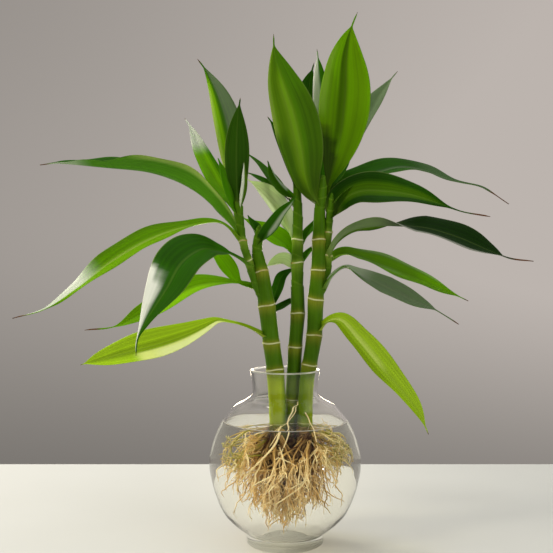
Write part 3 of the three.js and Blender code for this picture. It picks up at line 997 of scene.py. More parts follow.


# Each leaf's marks paint light and shade into its colour, and light scales its colour for the light
# on it.
LEAVES = [
    Leaf(
        "leaf_left_high_sweep",
        [(-34.5, -2, 243), (-52, 6, 264.5), (-69, 14, 281.5), (-88, 19, 293), (-112, 24, 301.5),
         (-150, 33, 305.5), (-190, 42, 307), (-208, 46, 305.5)],
        [(0.5, 0.7, 0.4), (0.3, 0.45, 0.75), (0, -0.2, 1), (0, -0.35, 0.95)],
        32, 0.53, Tint.DEEP, (0, 0.93), 0.38, 0.9,
        (
            Mark(Look.SHADE, (0.1, 0.95), (0.1, 1), 0.3, (0.1, 0.2)),
            Mark(Look.SHEEN, (0.4, 0.8), (0.0, 0.08), 0.05, (0.1, 0.1)),
            Mark(Look.SHEEN, (0.86, 0.96), (-1, 0.2), 0.35),
            Mark(Look.LIT, (0.05, 0.5), (-1, -0.85), 0.35, (0.1, 0.2)),
        ),
        0.94,
        light=1.9,
    ),
    Leaf(
        "leaf_left_low_sweep",
        [(-33.5, -3, 238), (-50, -9, 253), (-76, -17, 250.5), (-104, -26, 240.5), (-132, -35, 223),
         (-157, -42, 202), (-177, -47, 187), (-200, -53, 180)],
        [(-0.1, -0.25, 0.95), (-0.2, -0.65, 0.75), (-0.4, -0.6, 0.7)],
        27, 0.47, Tint.BRIGHT, (0.1, 0.88), 0.22, 0.8,
        (
            Mark(Look.GLOW, (0.2, 0.75), (-0.9, 0), 0.5),
            Mark(Look.SHADE, (0.3, 0.6), (0.85, 1), 0.45, (0.08, 0.1)),
            Mark(Look.LIT, (0.3, 0.93), (-0.03, 0.03), 0.28, (0.15, 0.1)),
            Mark(Look.SHEEN, (0.73, 0.97), (0.05, 1), 1.0, (0.12, 0.12)),
        ),
        0.93,
        light=1.28,
    ),
    Leaf(
        "leaf_left_drooping",
        [(-26, -4, 218.5), (-35.5, -12, 225), (-48.5, -23, 231), (-62, -36, 233.5),
         (-76.5, -52, 223), (-86.5, -68, 202), (-98, -80, 180), (-103, -86, 167),
         (-103.5, -89, 156)],
        [(-0.2, -0.5, 0.8), (-0.15, -0.85, 0.55), (-0.35, -0.9, 0.3)],
        39, 0.38, Tint.DEEP, (0.15, 0.93), 0.22, 0.7,
        (
            Mark(Look.SHEEN, (0.57, 0.93), (0.88, 1), 1.0, (0.04, 0.22)),
            Mark(Look.SHEEN, (0.68, 0.93), (0.5, 1), 0.9, (0.08, 0.35)),
            Mark(Look.SHEEN, (0.585, 0.72), (0.5, 0.8), 0.4, (0.04, 0.25)),
            Mark(Look.SHADE, (0.25, 0.5), (0.1, 1), 0.4, (0.04, 0.3)),
            Mark(Look.SHADE, (0.2, 0.9), (-1, -0.5), 0.25),
        ),
        light=1.75,
    ),
    Leaf(
        "leaf_left_curl",
        [(-22.5, -2, 201), (-36, 2, 206), (-44, 4, 217), (-51.5, 6, 226.5), (-61, 6, 234.5)],
        [(0, -0.7, 0.7), (-0.6, -0.6, 0.4)],
        13, 0.5, Tint.BRIGHT, (0.25, 1),
        marks=(Mark(Look.SHADE, (0, 0.25), (-1, 1), 0.3),),
        light=2.14,
    ),
    Leaf(
        "leaf_left_back_sweep",
        [(-18, 1, 196.5), (-28, 6, 204), (-39, 10, 206), (-65, 17.5, 205.5), (-79.5, 22, 201.5),
         (-103.5, 30, 188), (-121, 34, 179.5), (-143, 40, 168.5), (-170, 46, 165)],
        [(0, -0.5, 0.85), (0, -0.7, 0.7), (0, -0.7, 0.7)],
        27, 0.47, Tint.BRIGHT, (0.16, 0.85),
        marks=(
            Mark(Look.SHADE, (0.7, 0.85), (-1, 1), 0.35),
            Mark(Look.GLOW, (0.3, 0.6), (-1, -0.2), 0.4),
        ),
        dry_from=0.9,
        light=1.77,
    ),
    Leaf(
        "leaf_left_lowest",
        [(-13.5, -3, 162), (-27.5, -10, 170.5), (-41.5, -17, 175.5), (-52.5, -22, 177),
         (-63, -27, 172.5), (-73.5, -32, 168), (-90, -39, 162.5), (-115, -48, 156),
         (-149, -58, 146.5)],
        [(0, -0.5, 0.85), (0, -0.8, 0.6), (-0.1, -0.75, 0.65)],
        27, 0.56, Tint.LIME, (0.25, 0.98),
        marks=(
            Mark(Look.LIT, (0.3, 0.7), (-1, -0.3), 1.0, (0.06, 0.08)),
            Mark(Look.SHEEN, (0.35, 0.6), (-0.9, -0.5), 0.2, (0.08, 0.2)),
            Mark(Look.SHADE, (0.3, 1), (-0.22, 0.2), 0.4, (0.1, 0.12)),
            Mark(Look.SHADE, (0, 0.16), (-1, 1), 0.5, (0.06, 0.3)),
            Mark(Look.LIT, (0.25, 0.95), (-0.9, 0.9), 0.04),
        ),
        dry_from=0.985,
        light=1.5,
    ),
    Leaf(
        "leaf_left_spear",
        [(-36.5, -1, 256), (-46, 9, 275), (-56.5, 15, 290), (-69, 22, 314), (-78, 27, 334),
         (-83, 29, 342)],
        [(0.5, -0.8, 0.3), (0.4, -0.85, 0.3)],
        18, 0.5, Tint.MID,
        marks=(
            Mark(Look.SHEEN, (0.78, 1), (-1, 1), 1.0, (0.14, 0.3)),
            Mark(Look.SHADE, (0.1, 0.5), (0.1, 1), 0.25),
            Mark(Look.GLOW, (0.1, 0.7), (-0.8, 0.4), 0.5),
        ),
        light=2.6,
    ),
    Leaf(
        "leaf_left_bud",
        [(-36.5, -4, 259), (-43, -6, 279), (-53, -7, 304)],
        [(0.3, -0.9, 0.2)],
        11, 0.45, Tint.MID,
        marks=shaded(0.2),
        light=1.86,
    ),
    Leaf(
        "leaf_left_tall_back",
        [(-37, -1.5, 265), (-39, 6, 296), (-44.5, 10, 328), (-53.5, 12, 357), (-65, 13, 379),
         (-71, 13, 387)],
        [(0.2, -0.95, 0.1)],
        24, 0.48, Tint.MID,
        marks=(
            Mark(Look.GLOW, (0.15, 0.8), (-0.95, -0.5), 1.0, (0.12, 0.2)),
            Mark(Look.LIT, (0.2, 0.75), (-1, -0.85), 0.45, (0.12, 0.15)),
            Mark(Look.SHADE, (0.3, 1), (-0.1, 1), 0.5),
            Mark(Look.SHEEN, (0.45, 0.85), (0.1, 0.8), 0.2),
        ),
        dry_from=0.95,
        light=1.47,
    ),
    Leaf(
        "leaf_left_tall_front",
        [(-37.4, -4, 266), (-38, -9, 298), (-37.5, -12, 321), (-36.5, -13, 338), (-35, -13, 350)],
        [(0.1, 0.95, 0.1)],
        19.5, 0.5, Tint.DEEP,
        marks=shaded(0.4),
        light=0.72,
    ),
    Leaf(
        "leaf_left_rolled",
        [(-35.5, -5.2, 264), (-32, -10, 282), (-32, -12, 300)],
        [(-0.2, 0.9, 0.1)],
        5, 0.5, Tint.MID,
        marks=(
            Mark(Look.SHEEN, (0.1, 0.9), (0.3, 1), 0.8),
            Mark(Look.SHADE, (0, 1), (-1, 0), 0.5),
        ),
        light=1.04,
    ),
    Leaf(
        "leaf_top_left_front",
        [(-20.9, -3, 237), (-15.5, -9, 244), (-10.5, -13, 250), (-3, -17, 260), (4, -19, 267),
         (9, -20, 274)],
        [(-0.35, -0.85, 0.35)],
        12, 0.45, Tint.DEEP,
        marks=(Mark(Look.SHEEN, (0.3, 0.8), (0.2, 0.6), 0.3),),
        light=1.47,
    ),
    Leaf(
        "leaf_top_left_back",
        [(-21.4, -0.5, 242), (-25, 5, 252), (-30, 9, 260)],
        [(0.5, -0.7, 0.4)],
        9, 0.5, Tint.DEEP,
    ),
    Leaf(
        "leaf_left_inner_arch",
        [(-12, 2, 185), (-6, 9, 202), (-2.5, 13, 211), (4, 17, 215.5), (12, 20, 218)],
        [(0.3, -0.6, 0.7)],
        9, 0.5, Tint.DEEP,
    ),
    Leaf(
        "leaf_left_inner_small",
        [(-11, 1, 181), (-4, 10, 186), (5, 15, 191), (13, 18, 195)],
        [(0, -0.7, 0.7)],
        7, 0.5, Tint.DEEP,
        marks=shaded(0.4),
    ),
    Leaf(
        "leaf_middle_pale",
        [(7.5, 5.5, 240), (0, 11, 259), (-9.5, 17, 272.5), (-20.5, 24, 283.5), (-32, 29, 292)],
        [(0.3, 0.6, 0.6)],
        24, 0.5, Tint.PALE,
        marks=(
            Mark(Look.GLOW, (0, 0.4), (-1, 1), 0.3),
            Mark(Look.SHEEN, (0.3, 1), (0.5, 1), 0.35),
            Mark(Look.SHEEN, (0, 0.4), (-1, -0.5), 0.4),
            Mark(Look.SHADE, (0.2, 0.8), (-0.4, 0.2), 0.3),
        ),
        light=1.76,
    ),
    Leaf(
        "leaf_middle_arch",
        [(9.5, 6, 264), (5, 13, 272), (-1.5, 19, 279.5), (-11, 26, 286.5), (-22.5, 34, 293.5),
         (-35, 42, 300)],
        [(0.3, -0.5, 0.8)],
        10, 0.5, Tint.DEEP,
    ),
    Leaf(
        "leaf_middle_back",
        [(9.5, 6.5, 270), (-3, 22, 282.5), (-13.5, 36, 296.5), (-22.5, 46, 308),
         (-33.5, 54, 317.5)],
        [(0.3, -0.6, 0.7)],
        11, 0.5, Tint.MID,
        light=0.92,
    ),
    Leaf(
        "leaf_middle_point",
        [(8, 4, 272), (-2, 5, 279), (-9.5, 7, 289.5), (-14, 9, 304)],
        [(0.4, -0.8, 0.4)],
        9, 0.45, Tint.MID,
        marks=(
            Mark(Look.SHADE, (0, 1), (-1, 0.4), 0.55),
            Mark(Look.SHEEN, (0.3, 0.9), (0.7, 1), 0.6, (0.1, 0.15)),
        ),
    ),
    Leaf(
        "leaf_middle_short_pale",
        [(7.5, 6, 218), (0, 9, 223.5), (-7, 12, 222.5), (-15, 14, 219)],
        [(0, 0.5, 0.8)],
        15, 0.5, Tint.PALE,
        light=1.83,
    ),
    Leaf(
        "leaf_middle_bright",
        [(8, 7.5, 226), (3, 13, 236), (-4, 17, 242), (-14, 20, 248), (-27, 24, 255),
         (-36, 27, 260)],
        [(0.2, -0.8, 0.5)],
        18, 0.45, Tint.BRIGHT,
        light=2.6,
    ),
    Leaf(
        "leaf_middle_right",
        [(11.5, 6.5, 233), (17, 12, 244), (23, 16, 253), (30, 19, 263)],
        [(-0.5, -0.6, 0.5)],
        9, 0.5, Tint.MID,
    ),
    Leaf(
        "leaf_middle_right_low",
        [(11.5, 6, 217), (16, 10, 227), (22, 13, 233), (31, 15, 236)],
        [(-0.3, -0.6, 0.7)],
        7, 0.5, Tint.MID,
    ),
    Leaf(
        "leaf_middle_tall",
        [(9, 6, 281), (14, 14, 313), (18, 18, 346), (21, 20, 373), (24, 21, 386)],
        [(0, -0.95, 0.1)],
        27, 0.55, Tint.DEEP,
        marks=shaded(0.4),
    ),
    Leaf(
        "leaf_middle_rising",
        [(8.4, 4, 282), (4.5, 5, 299), (-2, 6, 318), (-10, 7, 333), (-14, 7, 339)],
        [(0.4, -0.85, 0.2)],
        11, 0.5, Tint.DEEP,
    ),
    Leaf(
        "leaf_right_tall_front",
        [(27, -4.5, 267), (20.5, -7.5, 276), (16, -10, 290), (13, -16, 308.5), (6.5, -21, 336),
         (-3, -25, 363), (-8.5, -28, 384), (-9, -29, 395)],
        [(0.15, 0.95, 0.15)],
        36, 0.5, Tint.MID,
        marks=(
            Mark(Look.GLOW, (0.2, 0.72), (0.02, 0.26), 0.9, (0.15, 0.25)),
            Mark(Look.LIT, (0.3, 0.66), (0.1, 0.2), 0.06, (0.15, 0.2)),
            Mark(Look.GLOW, (0.5, 0.9), (0.7, 1), 0.6),
            Mark(Look.LIT, (0.5, 0.9), (0.88, 1), 0.2, (0.1, 0.12)),
            Mark(Look.SHADE, (0.1, 0.8), (0.4, 0.7), 0.15),
            Mark(Look.SHADE, (0, 0.6), (-1, -0.55), 0.35),
            Mark(Look.SHADE, (0, 0.12), (-1, 1), 0.3),
        ),
        light=0.83,
    ),
    Leaf(
        "leaf_right_tall_back",
        [(31, -2, 273), (40, 1, 303), (45.5, 4, 331), (48.5, 5, 360), (49.5, 5, 388), (53, 4, 409),
         (58, 4, 422)],
        [(0, -0.98, 0.1)],
        41, 0.53, Tint.BRIGHT, (0.06, 0.92),
        marks=(
            Mark(Look.SHADE, (-0.2, 0.22), (-1, 0.12), 0.8, (0.04, 0.1)),
            Mark(Look.SHADE, (-0.2, 0.3), (-1, -0.2), 0.8, (0.04, 0.12)),
            Mark(Look.SHADE, (-0.2, 0.37), (-1, -0.55), 0.8, (0.04, 0.12)),
            Mark(Look.SHADE, (0.38, 0.88), (-0.16, 0.04), 0.6, (0.12, 0.14)),
            Mark(Look.SHADE, (0.2, 0.8), (0.5, 0.62), 0.25, (0.12, 0.14)),
            Mark(Look.GLOW, (0.25, 0.85), (0.15, 0.9), 0.8, (0.15, 0.2)),
            Mark(Look.LIT, (0.5, 0.75), (-0.95, -0.8), 0.15, (0.1, 0.2)),
            Mark(Look.GLOW, (0.4, 0.85), (-0.9, -0.4), 0.6, (0.1, 0.2)),
        ),
        light=0.86,
    ),
    Leaf(
        "leaf_right_short",
        [(30, 0, 275), (40, 9, 292), (49, 13, 304), (55, 15, 315)],
        [(-0.4, -0.8, 0.4)],
        14, 0.5, Tint.DEEP,
        marks=shaded(0.35),
        light=2.34,
    ),
    Leaf(
        "leaf_right_up_back",
        [(29, 0.5, 278), (43, 19, 306), (61, 29, 336), (78, 38, 362), (96, 46, 385)],
        [(-0.5, -0.7, 0.4)],
        23, 0.55, Tint.MID,
        marks=(
            Mark(Look.SHEEN, (0.4, 0.97), (-1, 1), 0.16),
            Mark(Look.SHADE, (0.4, 1), (-1, 1), 0.5),
        ),
        light=1.14,
    ),
    Leaf(
        "leaf_right_rolled",
        [(29, -0.5, 276), (30, 8, 304), (30, 13, 345), (28, 14, 373), (26, 13, 395)],
        [(0, -0.9, 0.1)],
        14, 0.62, Tint.DEEP,
        marks=(Mark(Look.SHEEN, (0.6, 0.93), (-1, -0.2), 1.0, (0.12, 0.3)),),
        light=2.6,
    ),
    Leaf(
        "leaf_right_high_sweep",
        [(36.5, -2, 267), (44.5, 2, 281), (55, 6, 289.5), (75, 13, 297), (96, 21, 302),
         (118, 28, 299), (142, 34, 291), (167, 39, 285.5), (190, 43, 272)],
        [(-0.2, -0.4, 0.85), (0, -0.55, 0.85), (0.3, -0.5, 0.8)],
        30, 0.32, Tint.DEEP, (0, 0.84), 0.22, 0.7,
        (
            Mark(Look.SHEEN, (0.1, 0.5), (-0.1, 0.02), 0.1, (0.1, 0.1)),
            Mark(Look.SHEEN, (0.6, 0.85), (-1, 1), 0.08, (0.15, 0.3)),
            Mark(Look.SHADE, (0.5, 1), (-1, 1), 0.35),
        ),
        0.87,
        light=1.68,
    ),
    Leaf(
        "leaf_right_second_sweep",
        [(35.8, -4, 257), (46, -9, 272.5), (58, -13, 278.5), (75, -20, 278), (98, -29, 273),
         (120, -36, 264), (132.5, -39.5, 259), (152, -44, 255)],
        [(-0.2, -0.75, 0.6), (0, -0.85, 0.55)],
        32, 0.36, Tint.DEEP, (0, 0.79), 0.22, 0.7,
        (
            Mark(Look.SHADE, (0, 0.3), (-1, 1), 0.25),
            Mark(Look.GLOW, (0.2, 0.62), (-0.35, 0.25), 0.22, (0.15, 0.25)),
            Mark(Look.SHADE, (0.1, 0.8), (0.5, 1), 0.35, (0.1, 0.2)),
            Mark(Look.SHADE, (0.1, 0.45), (-1, -0.6), 0.35, (0.1, 0.15)),
        ),
        0.88,
        light=1.02,
    ),
    Leaf(
        "leaf_right_twisted",
        [(34, -5, 226), (40.5, -12, 238.5), (51.5, -19, 247), (68, -26, 250.5), (81.5, -32, 251),
         (104, -42, 248.5), (126, -52, 241), (147, -61, 230), (160.5, -66, 223.5),
         (176, -70, 221.5)],
        [(-0.2, 0.6, 0.75), (0, 0.6, 0.8), (0.1, -0.6, 0.8), (0.2, -0.75, 0.6), (0.3, -0.6, 0.7)],
        26, 0.66, Tint.DEEP, (0, 0.87), 0.22, 0.6,
        (
            Mark(Look.GLOW, (0.06, 0.32), (-0.6, 1), 0.5),
            Mark(Look.SHEEN, (0.1, 0.36), (0.1, 0.8), 0.14),
            Mark(Look.SHADE, (0.4, 1), (-1, 1), 0.68),
            Mark(Look.SHEEN, (0.45, 0.85), (0.92, 1), 0.5, (0.1, 0.08)),
        ),
        0.9,
        light=0.62,
    ),
    Leaf(
        "leaf_right_bright",
        [(34.2, -1.2, 223), (46, 4, 229.5), (59, 9, 228), (75, 16, 223), (100, 25, 214),
         (125, 33, 203.5), (155, 40, 190)],
        [(-0.3, -0.5, 0.8), (0, -0.6, 0.8), (0.3, -0.55, 0.75)],
        28, 0.48, Tint.BRIGHT, (0, 0.95), 0.22, 0.6,
        (
            Mark(Look.SHADE, (0.1, 0.6), (-1, -0.1), 0.35),
            Mark(Look.SHEEN, (0.15, 0.45), (0.1, 0.5), 0.08, (0.1, 0.2)),
            Mark(Look.SHEEN, (0.3, 0.75), (-1, -0.85), 0.16, (0.1, 0.15)),
        ),
        0.95,
        light=1.17,
    ),
    Leaf(
        "leaf_right_grey",
        [(30.5, -4, 201), (36.5, -10, 211.5), (46.5, -13, 218.5), (56.5, -17, 214),
         (69.5, -23, 207.5), (84, -28, 200), (99, -33, 192), (111, -37, 186.5), (129, -42, 175)],
        [(-0.3, -0.5, 0.8), (0, -0.1, 1), (0.1, -0.8, 0.6), (0.2, -0.7, 0.6), (0.3, -0.6, 0.7)],
        18, 0.58, Tint.MID, (0.04, 0.84), 0.22, 0.6,
        (
            Mark(Look.SHEEN, (0.1, 0.3), (-1, 0.4), 0.3),
            Mark(Look.SHEEN, (0.4, 0.95), (-1, 1), 0.15),
            Mark(Look.SHADE, (0.36, 1), (-1, 1), 0.5),
        ),
        0.94,
        light=1.02,
    ),
    Leaf(
        "leaf_right_hanging",
        [(25, -4, 165), (32.5, -10, 175.5), (42.5, -16, 177.5), (56, -23, 164), (72.5, -32, 144),
         (88, -39, 125.5), (98.5, -43, 110.5), (105.5, -47, 94)],
        [(-0.2, -0.5, 0.85), (0.45, -0.7, 0.5), (0.6, -0.7, 0.3)],
        25, 0.5, Tint.LIME, (0.04, 0.96), 0.22, 0.6,
        (
            Mark(Look.SHADE, (0, 0.6), (0.75, 1), 0.35),
            Mark(Look.LIT, (0.1, 0.5), (-0.12, 0.02), 0.4, (0.12, 0.12)),
            Mark(Look.LIT, (0.2, 0.95), (-0.9, 0.3), 0.05),
        ),
        light=1.18,
    ),
]


# Canes, shoots and sheaths


@dataclass(frozen=True)
class Stem:
    """A round stem along its line of (x, y, height, radius), with ring scars at given heights.

    collars is how far apart the wrapped leaf bases of a shoot stand. A bare cane has none.
    """

    name: str
    line: list[tuple[float, float, float, float]]
    scars: list[float]
    collars: float = 0.0
    seed: float = 0.0

    SIDES = 40
    STEP = 0.45
    RING_PROUD = 0.45
    RING_HALF = 0.42
    RING_TILT = 0.55
    RING_WOBBLE = 0.2
    SWELL = 0.3
    SWELL_BELOW = 6.0
    SWELL_ABOVE = 2.8
    SWELL_SUNK = 0.4
    COLLAR_SLANT = 0.22
    COLLAR_PROUD = 0.42
    COLLAR_SUNK = 0.15
    COLLAR_TONE = 0.35
    FLUTES = 9
    FLUTE_DEPTH = 0.05
    FLUTE_TWIST = 0.05
    DOME_FROM = 1.2
    DOME_HEIGHT = 1.25
    DOME_LEAST = 0.02

    def _scarred(self, heights: np.ndarray, turn: np.ndarray) -> tuple[np.ndarray, np.ndarray]:
        """How strongly each point belongs to a ring scar, and to the swelling beside it.

        Args:
            heights: the height of each row of points.
            turn: the angle of each point of a row.

        Returns:
            The scar and the halo of each point, from 0 to 1.
        """
        scar = np.zeros((len(heights), self.SIDES))
        halo = np.zeros_like(scar)
        for number, level in enumerate(self.scars):
            phase = self.seed * 7 + number * 2.1
            tilt = self.RING_TILT * np.sin(turn + phase)
            tilt = tilt + self.RING_WOBBLE * np.sin(3 * turn + phase * 2)
            off = heights[:, None] - level - tilt
            scar = np.maximum(scar, np.exp(-((off / self.RING_HALF) ** 2)))
            reach = np.where(off < 0, self.SWELL_BELOW, self.SWELL_ABOVE)
            halo = np.maximum(halo, np.exp(-((off / reach) ** 2)))
        return scar, halo

    def skin(self) -> Skin:
        """Builds the stem round its line.

        Returns:
            One closed skin, with its scar and halo values.
        """
        knots = np.array(self.line, float)
        bottom, top = knots[0, 2], knots[-1, 2]
        rows = int((top - bottom) / self.STEP)
        heights = np.linspace(bottom, top, rows + 1)
        centre, along = SmoothLine(self.line).at_heights(heights)
        across = unit(np.array([1.0, 0, 0]) - along[:, :1] * along)
        behind = np.cross(along, across)
        turn = angles(self.SIDES)
        girth = np.interp(heights, knots[:, 2], knots[:, 3])
        scar, halo = self._scarred(heights, turn)
        reach = girth[:, None] + scar * self.RING_PROUD + halo * self.SWELL
        reach = reach - self.SWELL * self.SWELL_SUNK
        if self.collars:
            slant = self.COLLAR_SLANT * self.collars * np.sin(turn + self.seed * 5)
            rise = ((heights[:, None] + slant) / self.collars + self.seed) % 1.0
            reach = reach + self.COLLAR_PROUD * rise**2 - self.COLLAR_SUNK
            halo = np.maximum(halo, ease(rise, 0.8, 1.0) * self.COLLAR_TONE)
        twist = heights[:, None] * self.FLUTE_TWIST
        fluting = self.FLUTE_DEPTH * np.sin(turn * self.FLUTES + twist + self.seed)
        over = np.clip((heights - top + self.DOME_FROM) / self.DOME_HEIGHT, 0, 1)
        dome = np.sqrt(np.clip(1 - over**2, self.DOME_LEAST, 1))
        reach = (reach + fluting) * dome[:, None]
        rings = (
            centre[:, None, :]
            + across[:, None, :] * (reach * np.cos(turn))[:, :, None]
            + behind[:, None, :] * (reach * np.sin(turn))[:, :, None]
        )
        values = {"scar": scar.reshape(-1), "halo": halo.reshape(-1)}
        return Skin(rings.reshape(-1, 3), loft_faces(len(heights), self.SIDES), values)


CANES = [
    Stem(
        "cane_left",
        [(-6, -1, 63, 6.8), (-5.6, -1, 95, 6.9), (-7.9, -1, 136, 7), (-10.9, -1, 158, 6.7),
         (-14.6, -1, 188, 6.8), (-18.8, -1, 214.5, 5.7), (-22.3, -1, 230.4, 4.6)],
        [92, 136.5, 158, 188, 214.5],
        seed=0.1,
    ),
    Stem(
        "cane_middle",
        [(4, 8, 66, 5.9), (5, 7, 95, 5.9), (7.2, 5, 135, 5.8), (8.2, 5, 155, 5.6),
         (10.2, 5, 181, 5.7), (9.9, 5, 203.5, 5.4)],
        [90, 111.5, 154.5, 181],
        seed=0.4,
    ),
    Stem(
        "cane_right",
        [(15.5, -2.5, 60, 6), (15.8, -2.5, 95, 6), (16.7, -2.5, 124, 5.9), (18.4, -2.5, 136, 5.9),
         (23, -2.5, 164, 6.3), (24.3, -2.5, 192.5, 6.3), (26.5, -2.5, 216, 6), (27, -2.5, 239, 5.6),
         (27.4, -2.5, 266, 4.4)],
        [94, 141, 164, 192.5, 216, 239.5],
        seed=0.7,
    ),
]

SHOOTS = [
    Stem(
        "shoot_left",
        [(-19, -3, 193, 2.2), (-23, -3.3, 203, 2.9), (-28, -3, 220, 3.4), (-33.3, -3, 238, 3.1),
         (-35.7, -3, 252, 3.6), (-37.2, -3, 265, 4.1), (-38, -3, 274, 2.2)],
        [223, 238.5],
        9.0, 0.2,
    ),
    Stem(
        "sheath_left",
        [(-22.3, -1, 229, 4.3), (-21.7, -1.4, 238, 4.1), (-20.8, -2, 246, 3),
         (-20.4, -2.2, 251, 1.4)],
        [],
        7.0, 0.5,
    ),
    Stem(
        "shoot_middle",
        [(9.9, 5, 202, 5), (10, 5, 222, 4.9), (10.1, 5, 240, 4.4), (10.3, 5, 259, 4.1),
         (9.6, 5, 279, 3.3), (8.2, 5, 290, 1.8)],
        [221.5, 240],
        11.0, 0.3,
    ),
    Stem(
        "sheath_right",
        [(27.4, -2.5, 264, 4.3), (28.4, -2.5, 274, 4.8), (29.3, -2.5, 283, 3.9),
         (30, -2.5, 291, 1.8)],
        [],
        8.0, 0.8,
    ),
    Stem(
        "shoot_right",
        [(27.5, -3, 195, 2.4), (30.6, -3, 203, 3), (33.3, -3, 214, 3.2), (33.9, -3, 226, 3.3),
         (33.7, -3, 240, 3.2), (35.2, -3, 259, 3.2), (36.4, -3, 271, 2.6), (37.2, -3, 277, 1.3)],
        [227, 246],
        9.0, 0.6,
    ),
]


# The vase and its water


@dataclass(frozen=True)
class Vase:
    """The round glass bowl with a short foot and a straight neck, and the water in it.

    sunk is how far the water reaches into the glass, and bevel how round the foot's edge is.
    """

    radius: float = 60.0
    centre: float = 60.0
    foot: float = 30.5
    neck: float = 26.0
    rim: float = 27.6
    height: float = 136.0
    wall: float = 2.2
    floor: float = 7.0
    water_level: float = 95.5
    sunk: float = 0.12
    bevel: float = 1.5

    SIDES = 128
    FINE = 110
    FOOT_TOP = 8
    LOW = 26
    HIGH = 88
    HIGH_SWELL = 1.2
    SHOULDER = ((42, 106), (31, 113))
    NECK_BOTTOM = 119
    FLOOR_EDGE = 0.05
    STOUT_TO = 45
    STOUTER = 2.5
    DISH = ((20, 1.0), (8, 0.1), (0, 0.0))
    DISH_FROM = 0.06
    DISH_STEPS = 24
    EDGE_STEPS = 7
    LIP_STEPS = 11
    LIP_ROUND = 0.64
    SHORE = (0.0, 0.15, 0.4, 0.8, 1.4, 2.2, 3.4, 5.0, 8.0)
    SHORE_RISE = 0.9
    SHORE_WIDTH = 1.1
    LEVEL = (0.7, 0.45, 0.2, 0.0)

    def outline(self, places: np.ndarray) -> tuple[np.ndarray, np.ndarray]:
        """The outside of the glass from the foot to the rim.

        Args:
            places: shares of the way from the first to the last of the outline's points.

        Returns:
            Points of (radius, height), and the unit direction at each.
        """
        heights = (self.LOW, self.HIGH)
        low, high = (math.sqrt(self.radius**2 - (z - self.centre) ** 2) for z in heights)
        knots = np.array([
            (self.foot, self.FOOT_TOP), (low, self.LOW), (self.radius, self.centre),
            (high + self.HIGH_SWELL, self.HIGH), *self.SHOULDER, (self.neck, self.NECK_BOTTOM),
            (self.rim, self.height),
        ], float)
        padded = np.vstack([knots[0], knots, knots[-1]])
        spans = len(knots) - 1
        span = np.minimum((places * spans).astype(int), spans - 1)
        t = (places * spans - span)[:, None]
        p0, p1, p2, p3 = (padded[span + k] for k in range(4))
        start, end = (p2 - p0) / 2, (p3 - p1) / 2
        points = (
            (2 * p1 - 2 * p2 + start + end) * t**3
            + (-3 * p1 + 3 * p2 - 2 * start - end) * t**2 + start * t + p1
        )
        ways = (
            3 * (2 * p1 - 2 * p2 + start + end) * t**2
            + 2 * (-3 * p1 + 3 * p2 - 2 * start - end) * t + start
        )
        return points, unit(ways)

    def inside(self, less: float = 0.0) -> np.ndarray:
        """The inside of the glass from the rim to the floor's middle.

        Args:
            less: how far the line is moved into the glass.

        Returns:
            Points of (radius, height).
        """
        points, ways = self.outline(np.linspace(1, self.FLOOR_EDGE, self.FINE))
        wall = self.wall - less
        wall = wall + np.interp(points[:, 1], [0, self.STOUT_TO], [self.STOUTER, 0])
        sides = points + wall[:, None] * np.stack([-ways[:, 1], ways[:, 0]], axis=1)
        edge = [(reach, 0, height) for reach, height in sides[-2:]]
        dish = [(reach, 0, self.floor + rise - less) for reach, rise in self.DISH]
        shares = np.linspace(self.DISH_FROM, 1, self.DISH_STEPS)
        bottom, _ = SmoothLine([*edge, *dish]).at(shares)
        return np.vstack([sides, bottom[1:, [0, 2]]])

    def revolve(self, profile: np.ndarray) -> Skin:
        """A profile of (radius, height) turned about the upright axis, closed at both ends.

        Args:
            profile: points from the axis round to the axis again.

        Returns:
            The closed skin.
        """
        turn = angles(self.SIDES)
        body = profile[1:-1]
        rings = np.stack([
            body[:, :1] * np.cos(turn), body[:, :1] * np.sin(turn),
            np.repeat(body[:, 1:], self.SIDES, axis=1),
        ], axis=2).reshape(-1, 3)
        poles = np.array([[0, 0, profile[0, 1]], [0, 0, profile[-1, 1]]])
        faces = loft_faces(len(body), self.SIDES, capped=False)
        start, last = len(rings), (len(body) - 1) * self.SIDES
        for side in range(self.SIDES):
            after = (side + 1) % self.SIDES
            faces.append((start, after, side))
            faces.append((start + 1, last + side, last + after))
        return Skin(np.vstack([rings, poles]), faces)

    def glass(self) -> Skin:
        """Builds the glass.

        Returns:
            One closed skin of the foot, the outside, the rounded lip and the inside.
        """
        outside, _ = self.outline(np.linspace(0, 1, self.FINE))
        inside = self.inside()
        turn = np.linspace(0, np.pi / 2, self.EDGE_STEPS)
        edge = np.stack([
            self.foot - self.bevel + self.bevel * np.sin(turn), self.bevel * (1 - np.cos(turn)),
        ], axis=1)
        middle = (outside[-1] + inside[0]) / 2
        half = np.linalg.norm(outside[-1] - inside[0]) / 2
        turn = np.linspace(0, np.pi, self.LIP_STEPS)[1:-1]
        rise = half * np.sin(turn) * self.LIP_ROUND
        lip = middle + np.stack([half * np.cos(turn), rise], axis=1)
        return self.revolve(np.vstack([[(0, 0)], edge, outside, lip, inside]))

    def water(self) -> Skin:
        """Builds the water, whose skin lies a little inside the glass.

        Returns:
            One closed skin, with a level top that has a raised edge.
        """
        inside = self.inside(self.sunk)[::-1]
        wet = inside[inside[:, 1] < self.water_level]
        shore = np.interp(self.water_level, inside[:, 1], inside[:, 0])
        inward = np.array(self.SHORE)
        rise = self.SHORE_RISE * np.exp(-inward / self.SHORE_WIDTH)
        top = np.stack([shore - inward, self.water_level + rise], axis=1)
        level = np.array([(shore * share, self.water_level) for share in self.LEVEL])
        return self.revolve(np.vstack([wet, top, level]))


# Roots


@dataclass(frozen=True)
class Strand:
    """One root that is placed through its points."""

    points: list[Point]
    thick: float
    thin: float
    age: float
    moss: float = 0.0


